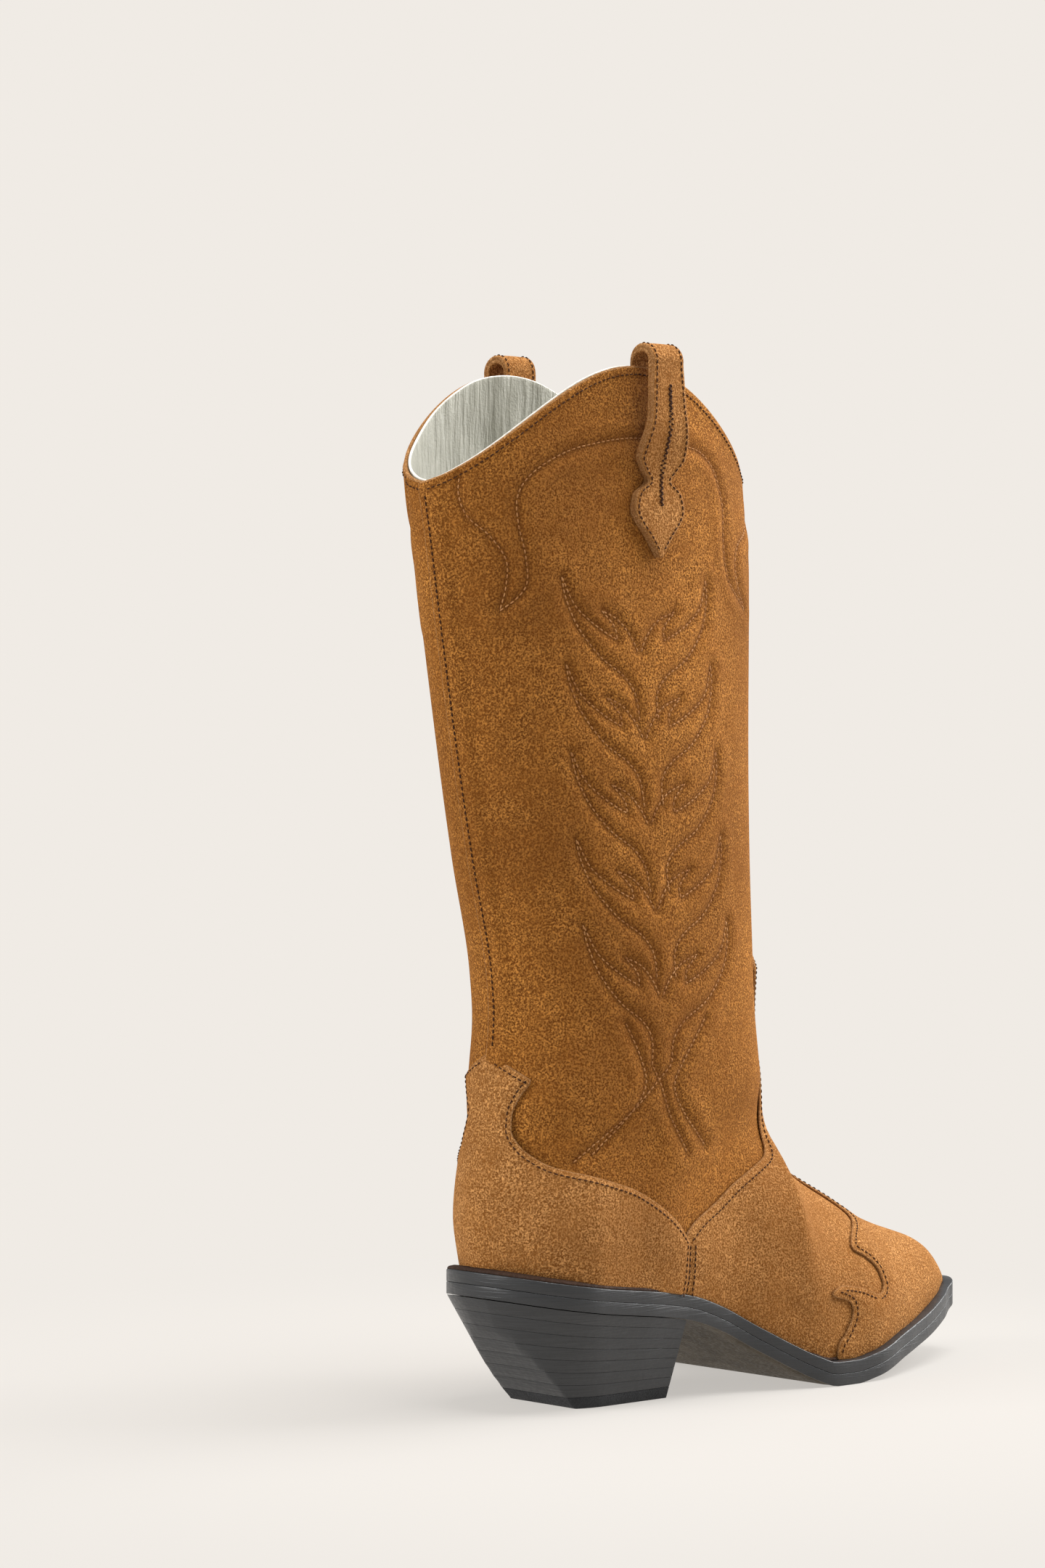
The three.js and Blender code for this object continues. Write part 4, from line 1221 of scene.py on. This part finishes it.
def cap_crossings(side):
    """Net points where the line of cap stitches crosses the net."""
    spot = Spot(NET)
    value = cap_test(spot) - EDGE_INSET
    keep = (spot.sign * side > 0) & (spot.z > welt_curve(spot.y) + 2)
    found = []
    for di, dj in ((0, 1), (1, 0)):
        other = np.roll(value, (-di, -dj), (0, 1))
        beyond = np.roll(NET, (-di, -dj), (0, 1))
        hit = keep & ((value > 0) != (other > 0))
        hit[-1] = False
        t = (value[hit] / (value[hit] - other[hit]))[:, None]
        found.append(NET[hit] + (beyond[hit] - NET[hit]) * t)
    return np.vstack(found)


def cap_face_run(order):
    """Points and normals on the toe cap over net points in order, lightly smoothed."""
    spot = Spot(order)
    normal = unit(spot.normal)
    height = vamp_inner(spot) + UPPER + GAP + pared(spot, cap_test(spot))
    points = spot.data[:, :3] + normal * height[:, None]
    for k in range(2):
        points[1:-1] = (points[:-2] + points[1:-1] * 2 + points[2:]) / 4
    return points, normal


def cap_runs(side):
    """Joins the crossings, nearest to nearest, into runs of stitches on the toe cap."""
    found = cap_crossings(side)
    left = list(range(len(found)))
    runs = []
    while len(left) > SHORTEST_RUN:
        order = [min(left, key=lambda i: found[i, 2])]
        left.remove(order[0])
        while left:
            away = np.linalg.norm(found[left, :3] - found[order[-1], :3], axis=1)
            best = int(np.argmin(away))
            if away[best] > NEXT_REACH:
                break
            order.append(left.pop(best))
        if len(order) >= SHORTEST_RUN:
            runs.append(cap_face_run(found[order]))
    return runs


# %% Sew the seams of the upper
def upper_seams(side):
    counter_heights = np.linspace(welt_curve(40) + 4, 134, 170)
    vamp_heights = np.concatenate([np.linspace(63, 92, 90), np.linspace(93, 178, 70)])
    runs = [top_run(side),
            edge_run(side, counter_reach, counter_heights, counter_face),
            edge_run(side, vamp_reach, vamp_heights, vamp_face, front=True)]
    heights = np.linspace(34, 61, 24)
    for inset in (1.8, 4.4):
        line = np.stack([seam_round(heights) + inset, heights], -1)
        runs.append(on_skin(side, line, vamp_face))
    return runs + cap_runs(side)


for side, label in ((1, "outer"), (-1, "inner")):
    thread = sew(label + "_seam_thread", upper_seams(side), THREAD_DARK, radius=0.26)
    settle(thread, "upper_suede")
lap_runs = [on_skin(1, [(2.2, low), (2.2, SHAFT_HEIGHT - 4)], shaft_face, front)
            for low, front in ((138, False), (182, True))]
settle(sew("centre_seam_thread", lap_runs, THREAD_DARK), "upper_suede")

# %% [markdown]
# ## Welt and sole
#
# The welt and the outsole have the same outline, a blunt toe with rounded corners and a round
# seat. Each is swept along the foot with a rounded edge, so a dark line shows between them.
# A narrow dark brown bead closes the angle where the suede meets the welt, as painted shade
# for that gap.

# %% Outline of the sole
welt_margin = smooth_curve([(-60, 1.2), (0, 1.4), (45, 3), (95, 5.4), (150, 5.7), (165, 6.4),
    (185, 6.7), (196, 7.2), (206, 7)])
TOE_CORNER = 7


def sole_half(y, outer):
    width = outer_foot(np.maximum(y, -25)) if outer else inner_foot(np.maximum(y, -25))
    width = width + welt_margin(y)
    back = np.clip((y - SOLE_BACK) / HEEL_ROUND, 0, 1)
    tip = np.clip((SOLE_TIP - y) / TOE_CORNER, 0, 1)
    return width * np.sqrt(1 - (1 - back) ** 2) * (0.5 + 0.5 * np.sqrt(1 - (1 - tip) ** 2))


def sole_outline(count=170):
    """The sole's edge as one closed loop of (x, y), counter-clockwise from above."""
    y = SOLE_BACK + (SOLE_TIP - SOLE_BACK) * (1 - np.cos(np.linspace(0, np.pi, count))) / 2
    outer = np.stack([sole_half(y, True), y], -1)
    inner = np.stack([-sole_half(y, False), y], -1)
    across = np.linspace(outer[-1, 0], inner[-1, 0], 14)[1:-1]
    front = np.stack([across, np.full(12, SOLE_TIP)], -1)
    return np.vstack([outer, front, inner[::-1][:-1]])


OUTLINE = sole_outline()
WELT_LEVEL = welt_curve(OUTLINE[:, 1])
print("outline points:", len(OUTLINE))

# %% Rings that follow the outline
def sole_ring(inset, height):
    """The outline moved inward, at a height above the welt's face, never under the ground."""
    step = np.roll(OUTLINE, -1, 0) - np.roll(OUTLINE, 1, 0)
    inward = unit(np.stack([-step[:, 1], step[:, 0]], -1))
    return np.column_stack([OUTLINE + inward * inset, np.maximum(WELT_LEVEL + height, 0)])


def spine_ring(share, height):
    """The outline drawn in by a share of its way to the sole's middle line."""
    across = OUTLINE * [1 - share, 1]
    return np.column_stack([across, np.maximum(WELT_LEVEL + height, 0)])


def ring_piece(name, rings, materials, slots, closed=True):
    """Joins rings of points into one piece, with a material slot for each gap between them."""
    count = len(rings[0])
    faces = ring_faces(len(rings), count, closed)
    face_slots = np.repeat(slots, count)[:len(faces)]
    return new_mesh(name, np.vstack(rings), faces, materials, face_slots)


def edge_profile(low, high, round_low, round_high):
    """(inset, height) pairs up the outside edge of a layer, rounded at both corners."""
    quarter = np.linspace(0, np.pi / 2, 4)
    up = [(round_low * (1 - math.sin(t)), low + round_low * (1 - math.cos(t))) for t in quarter]
    down = [(round_high * (1 - math.cos(t)), high - round_high * (1 - math.sin(t)))
            for t in quarter]
    return up + down


# %% Painted-shade bead, welt and outsole
WELT_DEPTH = 4.75
WELT_REACH = 7.5
# Round the bead: inset from the welt's own margin, and height above the welt.
BEAD = [(1.6, 0.05), (-0.9, 0.05), (-0.9, 0.5), (-0.3, 1.15), (1.6, 1.5)]


def build_gap_shade_bead():
    """A dark bead in the angle between the suede and the welt: painted shade for that gap."""
    margin = welt_margin(OUTLINE[:, 1])[:, None]
    rings = [sole_ring(margin + inset, height) for inset, height in BEAD]
    return ring_piece("welt_gap_shade_bead", rings, [WELT_GAP_SHADE], [0] * len(rings))


def build_welt():
    profile = [(WELT_REACH, -WELT_DEPTH), *edge_profile(-WELT_DEPTH, 0, 0.22, 0.45), (3, 0.0),
               (WELT_REACH, 0.0)]
    rings = [sole_ring(inset, height) for inset, height in profile]
    return ring_piece("welt_strip", rings, [WELT_EDGE], [0] * len(rings))


def build_outsole():
    """Rings from the underside's middle, round the edge, to the upper face's middle."""
    low, high = -SOLE, -WELT_DEPTH - GAP / 3
    groove = [(3.4, low), (3.0, low + 0.35), (2.6, low)]
    edge = edge_profile(low, high, 0.25, 0.2) + [(3, high)]
    rings = [spine_ring(share, low) for share in (1.0, 0.8, 0.6, 0.4, 0.25, 0.12)]
    rings += [sole_ring(inset, height) for inset, height in groove]
    slots = [1] * len(rings)
    rings += [sole_ring(inset, height) for inset, height in edge]
    rings += [spine_ring(share, high) for share in (0.12, 0.4, 0.7, 1.0)]
    slots += [0] * (len(rings) - len(slots))
    return ring_piece("outsole_leather", rings, [WELT_EDGE, UNDERSIDE], slots, closed=False)


def close_spine(piece):
    """Joins the points that meet along the middle of the sole."""
    shape = bmesh.new()
    shape.from_mesh(piece.data)
    bmesh.ops.remove_doubles(shape, verts=shape.verts, dist=0.00002)
    shape.to_mesh(piece.data)
    shape.free()


settle(build_gap_shade_bead(), "sole_leather")
settle(build_welt(), "sole_leather", "welt")
outsole = build_outsole()
close_spine(outsole)
settle(outsole, "sole_leather", "outsole")
print("sole faces:", len(outsole.data.polygons))

# %% [markdown]
# ## The stacked heel
#
# The heel is seven lifts of leather and a rubber top lift. It leans in from the seat to a
# smaller tread, has a straight front, and a slanted flat ground across its back. Each lift is
# a slab with slightly rounded edges, so the joints show as fine dark lines as they do on a
# waxed heel. The flat is made by moving points that lie behind its plane onto the plane.

# %% Form of the heel
LIFT_COUNT = 7
TOP_LIFT = 4.6
TREAD_BACK = -22
TREAD_ROUND_BACK = TREAD_BACK - 13
FACET_TOP = 32
TREAD_HALF_FRONT, TREAD_HALF_BACK = 22.4, 20.4
TREAD_ROUND = 26
SEAT_BACK = SOLE_BACK + 0.6
HEEL_POINTS = 64


def seat_under(y):
    return np.maximum(0, welt_curve(y) - SOLE) - GAP


def close_back(y, back, reach):
    return np.sqrt(1 - (1 - np.clip((y - back) / reach, 0, 1)) ** 2)


def heel_side(share, t, outer):
    """Place along Y and half width of the heel's side. t is 0 on the ground, 1 at the seat."""
    top_y = SEAT_BACK + (HEEL_FRONT - SEAT_BACK) * share
    low_y = TREAD_ROUND_BACK + (HEEL_FRONT - TREAD_ROUND_BACK) * share
    low_half = close_back(low_y, TREAD_ROUND_BACK, TREAD_ROUND) * (
        TREAD_HALF_BACK + (TREAD_HALF_FRONT - TREAD_HALF_BACK) * share)
    top_half = sole_half(top_y, outer) - 0.6 * close_back(top_y, SEAT_BACK, HEEL_ROUND)
    return low_y + (top_y - low_y) * t, low_half + (top_half - low_half) * t


FACET_TOP_Y = float(heel_side(0.0, FACET_TOP / seat_under(SEAT_BACK), True)[0])
print("flat across the back, from %.1f to %.1f" % (TREAD_BACK, FACET_TOP_Y))

# %% Heel lifts
BREAST_POINTS = 10
LIFT_JOINT, LIFT_ROUNDING = 0.05, 0.11
TREAD_ROUNDING = 0.2
HARD_CORNER = 50


def heel_loop(fraction, lift, inset):
    """One closed ring of the heel. Fraction 0 is above the top lift, below 0 the ground."""
    share = (1 - np.cos(np.linspace(0, np.pi, HEEL_POINTS))) / 2
    top_y = SEAT_BACK + (HEEL_FRONT - SEAT_BACK) * share
    seat = seat_under(top_y)
    z = (TOP_LIFT + (seat - TOP_LIFT) * fraction if fraction >= 0 else 0 * seat) + lift
    facet_y = TREAD_BACK + (FACET_TOP_Y - TREAD_BACK) * z / FACET_TOP
    sides = []
    for sign in (1, -1):
        y, half = heel_side(share, z / seat, sign > 0)
        sides.append(np.column_stack([sign * half, np.maximum(y, facet_y), z]))
    front = np.linspace(1, -1, BREAST_POINTS + 2)[1:-1, None]
    corner = sides[0][-1:]
    breast = np.hstack([corner[:, :1] * front, np.repeat(corner[:, 1:], BREAST_POINTS, 0)])
    loop = np.vstack([sides[0], breast, sides[1][::-1][:-1]])
    centre = np.array([0, (loop[:, 1].min() + loop[:, 1].max()) / 2])
    size = np.maximum(np.abs(loop[:, :2] - centre).max(0), 1)
    loop[:, :2] = centre + (loop[:, :2] - centre) * (1 - inset / size)
    return loop


def cap_faces(base, count):
    """Strips between facing points of the heel's two sides, and one face at the breast."""
    faces = [(base, base + 1, base + count - 1)]
    for k in range(1, HEEL_POINTS - 1):
        faces.append((base + k, base + k + 1, base + count - k - 1, base + count - k))
    last = base + HEEL_POINTS - 1
    faces.append(tuple(range(last, last + BREAST_POINTS + 2)))
    return faces


def heel_lift(name, low_fraction, high_fraction, joint, material, rounding):
    edge = [(0, rounding), (rounding * 0.3, rounding * 0.3), (rounding, 0)]
    rings = [heel_loop(low_fraction, joint + lift, inset) for lift, inset in edge]
    rings += [heel_loop(high_fraction, -lift, inset) for lift, inset in reversed(edge)]
    count = len(rings[0])
    faces = ring_faces(len(rings), count)
    top = len(faces)
    faces += [face[::-1] for face in cap_faces(0, count)] + cap_faces(top, count)
    return new_mesh(name, np.vstack(rings), faces, [material])


def harden_edges(piece):
    """Keeps sharp corners as corners."""
    bpy.ops.object.select_all(action="DESELECT")
    piece.select_set(True)
    bpy.context.view_layer.objects.active = piece
    bpy.ops.object.shade_smooth_by_angle(angle=math.radians(HARD_CORNER))


for i in range(LIFT_COUNT):
    lift = heel_lift("stacked_lift_%d" % (i + 1), i / LIFT_COUNT, (i + 1) / LIFT_COUNT,
                     LIFT_JOINT, HEEL_EDGE, LIFT_ROUNDING)
    harden_edges(lift)
    settle(lift, "heel_stack", "heel_lift_%d" % (i + 1))
rubber = heel_lift("heel_top_lift", -1, 0, 0.0, RUBBER, TREAD_ROUNDING)
harden_edges(rubber)
settle(rubber, "top_lift_rubber", "top_lift")
print("heel lifts:", LIFT_COUNT)

# %% [markdown]
# ## Pull straps
#
# Each pull strap is one strip of two suede plies sewn together along their edges. One ply
# starts between the suede and the lining. The strip arches over the top line, stands off the
# shaft far enough for a finger, narrows to a waist and ends in a pointed leaf sewn to the
# shaft. It is swept along that path, and blends between its fixed ends and the loop that
# leans.

# %% Strap path
STRAP_THICKNESS = 3.2
STAND_OFF = 6.4
ARCH = LOOP_HIGH[2] - TOP_PEAK
INSIDE_ROOM = UPPER + GAP / 2 + STRAP_PLY / 2
WAIST = TOP_PEAK - 43
SEWN_INSIDE = 24
strap_half_low = smooth_curve([(LEAF_POINT, 0.8), (LEAF_POINT + 7, 6), (LEAF_POINT + 18, 13.6),
    (LEAF_POINT + 24, 12.2), (WAIST, 6.2), (WAIST + 4, 9), (WAIST + 9, 12.4), (WAIST + 26, 9.4),
    (TOP_PEAK, STRAP_HALF)])


def wall_at(z, y=None):
    y = np.full(np.shape(z), STRAP_PLACE) if y is None else y
    return half_width(y, np.asarray(z, float), True)


def strap_path():
    """(x, z) down the middle of the strap, from inside to the leaf's point, and its widths."""
    inside_x = wall_at(TOP_PEAK) - INSIDE_ROOM
    outside_x = wall_at(TOP_PEAK) + GAP + STRAP_THICKNESS / 2 + STAND_OFF
    middle, radius = (inside_x + outside_x) / 2, (outside_x - inside_x) / 2
    base = TOP_PEAK + ARCH - STRAP_THICKNESS / 2 - radius
    up = np.linspace(TOP_PEAK - SEWN_INSIDE, base - 0.6, 22)
    inner_leg = np.column_stack([wall_at(up) - INSIDE_ROOM, up])
    turn = np.linspace(np.pi, 0, 26)
    arch = np.column_stack([middle + radius * np.cos(turn), base + radius * np.sin(turn)])
    down = np.linspace(base - 0.6, LEAF_POINT, 74)
    bow = STAND_OFF * ramp(down, WAIST - 1, WAIST + 24)
    outer_leg = np.column_stack([wall_at(down) + GAP + STRAP_THICKNESS / 2 + bow, down])
    path = np.vstack([inner_leg, arch, outer_leg])
    widths = np.concatenate([np.full(len(up) + len(turn), STRAP_HALF), strap_half_low(down)])
    return path, widths


STRAP_PATH, STRAP_WIDTHS = strap_path()
print("strap length: %.0f" % run_length(STRAP_PATH)[-1])

# %% Strap section
# Only one ply runs down between the suede and the lining; the second joins it on the arch.
SECOND_PLY = (22, 34)
STATIONS = np.arange(len(STRAP_PATH))
STRAP_DEPTHS = STRAP_PLY + (STRAP_THICKNESS - STRAP_PLY) * ramp(STATIONS, *SECOND_PLY)
ARCH_END = 48
# Along each side of the strap: share of the thickness, and inset.
PLY = [(0.06, 0.05), (0.3, 0.0), (0.46, 0.22), (0.5, 0.45), (0.54, 0.22), (0.72, 0.0),
       (0.9, 0.12), (0.98, 0.5)]
FACE_SHARES = np.linspace(-0.9, 0.9, 13)


def strap_section(half):
    """(across, thickness share) round the strap's section, with a seam between its plies."""
    left = [(-half + inset, share) for share, inset in PLY]
    top = [(half * s, 1.0 + 0.05 * (1 - (s / 0.9) ** 2)) for s in FACE_SHARES]
    right = [(half - inset, share) for share, inset in reversed(PLY)]
    under = [(half * s, 0.0) for s in FACE_SHARES[::-1]]
    return np.array(left + top + right + under)


STRAP_ALONG = unit(np.gradient(STRAP_PATH, axis=0))
STRAP_NORMAL = np.column_stack([-STRAP_ALONG[:, 1], STRAP_ALONG[:, 0]])


def strap_points(side, station, across, share):
    """Places on the strap: share 0 is its underside and 1 is its outer face."""
    x, z = STRAP_PATH[station]
    nx, nz = STRAP_NORMAL[station]
    off = (share - 0.5) * STRAP_DEPTHS[station]
    y = STRAP_PLACE + across
    hug = wall_at(np.full(np.shape(y), z), y) - wall_at(z)
    on_wall = 1 - ramp(z, WAIST + 2, WAIST + 22) if station > ARCH_END else 0
    return np.column_stack([side * (x + nx * off + hug * on_wall), y, z + nz * off])


# %% Build and sew the straps
SEWN_STEPS = (56, 103)
STRAP_EDGE_INSET = 1.7
FIRST_SHOWN = 12


def build_strap(side, name):
    rings = [strap_points(side, i, *strap_section(half).T)
             for i, half in enumerate(STRAP_WIDTHS)]
    count = len(rings[0])
    right = len(PLY) + len(FACE_SHARES)
    rim = {*range(len(PLY)), *range(right, right + len(PLY))}
    around = [int(k in rim and (k + 1) % count in rim) for k in range(count)]
    faces = ring_faces(len(rings), count)
    last = len(faces)
    faces += [tuple(reversed(range(count))), tuple(range(last, last + count))]
    if side > 0:
        faces = [face[::-1] for face in faces]
    slots = around * (len(rings) - 1) + [1, 1]
    return new_mesh(name, np.vstack(rings), faces, [SUEDE_FOOT, SUEDE_EDGE], slots)


def strap_run(side, across_rule, first, last):
    """A run on the strap's outer face. The rule gives the place across at each station."""
    points = [strap_points(side, i, np.array([across_rule(i)]), np.array([1.05]))[0]
              for i in range(first, last)]
    nx, nz = STRAP_NORMAL[first:last].T
    return np.array(points), np.column_stack([side * nx, 0 * nx, nz])


def zigzag(i):
    return 1.1 * (1 if i % 2 else -1)


for side, label in ((1, "outer"), (-1, "inner")):
    strap = build_strap(side, label + "_pull_strap")
    edge_runs = [strap_run(side, lambda i: k * max(STRAP_WIDTHS[i] - STRAP_EDGE_INSET, 0),
                           FIRST_SHOWN, len(STRAP_PATH) - 3) for k in (-1, 1)]
    edge_thread = sew(label + "_strap_thread", edge_runs, THREAD_DARK, radius=0.26)
    tack = sew(label + "_strap_tack", [strap_run(side, zigzag, *SEWN_STEPS)], THREAD_DARK,
               radius=0.42, pitch=2.3, length=2.0)
    for piece in (strap, edge_thread, tack):
        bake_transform(piece)
    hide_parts(*[label + "_strap_" + part for part in ("anchor", "loop", "tab")])

# %% [markdown]
# ## The pieces inside
#
# Shank, cork, insole, stiffeners and fastenings are right as the frame has them, so they keep
# their solids and only take a finish of their own.

# %% Finish the hidden pieces
HIDDEN = {"shank": STEEL, "cork_filler": CORK, "insole_board": BOARD, "sock_liner": LINING_FACE,
          "heel_counter": STIFF, "toe_puff": STIFF, "heel_screw": STEEL,
          **{"heel_nail_%d" % i: STEEL for i in range(1, 5)}}
for node, material in HIDDEN.items():
    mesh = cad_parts[node].data
    mesh.materials.clear()
    mesh.materials.append(material)
print("finished in place:", len(HIDDEN))

# %% [markdown]
# ## The studio
#
# A pale floor fades into a backdrop of one colour, and broad soft lights leave a faint shadow
# at the heel and under the toe. The camera stands level, behind and to the outer side of the
# boot. The floor's fade is worked out from the distance to the boot, so it holds in any view.

# %% Floor and backdrop
BACKDROP = (0.871, 0.831, 0.783, 1.0)
FLOOR_PAINT = (0.49, 0.469, 0.442, 1.0)
FLOOR_SIZE = 3.0


def build_floor():
    mesh = bpy.data.meshes.new("studio_floor")
    corners = [(x * FLOOR_SIZE, y * FLOOR_SIZE, 0)
               for x, y in ((-1, -1), (1, -1), (1, 1), (-1, 1))]
    mesh.from_pydata(corners, [], [(0, 1, 2, 3)])
    material = bpy.data.materials.new("studio_floor")
    material.use_nodes = True
    tree = material.node_tree
    tree.nodes.clear()
    leave = tree.nodes.new("ShaderNodeOutputMaterial")
    glow = add_node(tree, "ShaderNodeEmission", {"Color": BACKDROP})
    paint = add_node(tree, "ShaderNodeBsdfDiffuse", {"Color": FLOOR_PAINT})
    away = add_node(tree, "ShaderNodeVectorMath", {0: stretched(tree)}, operation="LENGTH")
    fade = add_node(tree, "ShaderNodeMapRange", {
        "Value": away.outputs["Value"], "From Min": 0.12, "From Max": 0.44, "To Min": 0.58},
        interpolation_type="SMOOTHSTEP")
    mixed = add_node(tree, "ShaderNodeMixShader", {
        "Fac": fade.outputs["Result"], 1: paint.outputs["BSDF"], 2: glow.outputs["Emission"]})
    set_inputs(tree, leave, {"Surface": mixed.outputs["Shader"]})
    mesh.materials.append(material)
    add_object("studio_floor", mesh)


def build_world():
    """One colour behind the boot, and a soft white light all round it."""
    world = bpy.data.worlds.new("studio")
    bpy.context.scene.world = world
    world.use_nodes = True
    tree = world.node_tree
    tree.nodes.clear()
    leave = tree.nodes.new("ShaderNodeOutputWorld")
    seen = add_node(tree, "ShaderNodeBackground", {"Color": BACKDROP})
    soft = add_node(tree, "ShaderNodeBackground", {"Color": (1.0, 0.985, 0.965, 1.0),
                                                   "Strength": 0.47})
    path = tree.nodes.new("ShaderNodeLightPath")
    mixed = add_node(tree, "ShaderNodeMixShader", {
        "Fac": path.outputs["Is Camera Ray"], 1: soft.outputs["Background"],
        2: seen.outputs["Background"]})
    set_inputs(tree, leave, {"Surface": mixed.outputs["Shader"]})


build_floor()
build_world()
print("floor %.0f m across" % (2 * FLOOR_SIZE))

# %% Lights and camera
LIGHTS = [("top", (0.35, 0.2, 1.9), (0, 0, 0.2), 34, 1.1),
          ("front_key", (0.55, 1.85, 1.15), (0, 0.05, 0.2), 60, 1.5),
          ("back_key", (-0.6, -1.7, 1.0), (0, 0, 0.2), 26, 1.0)]


def add_light(name, place, aim, power, size):
    lamp = bpy.data.lights.new(name, "AREA")
    lamp.energy = power
    lamp.size = size
    light = add_object(name, lamp)
    light.location = place
    x, y, z = unit(np.array(aim) - np.array(place))
    light.rotation_euler = (math.acos(-z), 0.0, math.atan2(y, x) - math.pi / 2)


def build_camera():
    """Level, on a circle round the boot, and a little to one side of its middle."""
    lens = bpy.data.cameras.new("camera")
    camera = add_object("camera", lens)
    turn = math.radians(46.7)
    distance, sideways, height = 1.721, 0.0238, 0.265
    camera.location = (math.sin(turn) * distance - math.cos(turn) * sideways,
                       -math.cos(turn) * distance - math.sin(turn) * sideways, height)
    camera.rotation_euler = (math.pi / 2, 0, turn)
    lens.sensor_fit = "VERTICAL"
    lens.sensor_height = 36
    lens.lens = 102.1
    lens.shift_y = -0.0454
    lens.clip_end = 50
    bpy.context.scene.camera = camera


for light in LIGHTS:
    add_light(*light)
build_camera()
bpy.context.scene.view_settings.view_transform = "Standard"
print("lights:", len(LIGHTS))
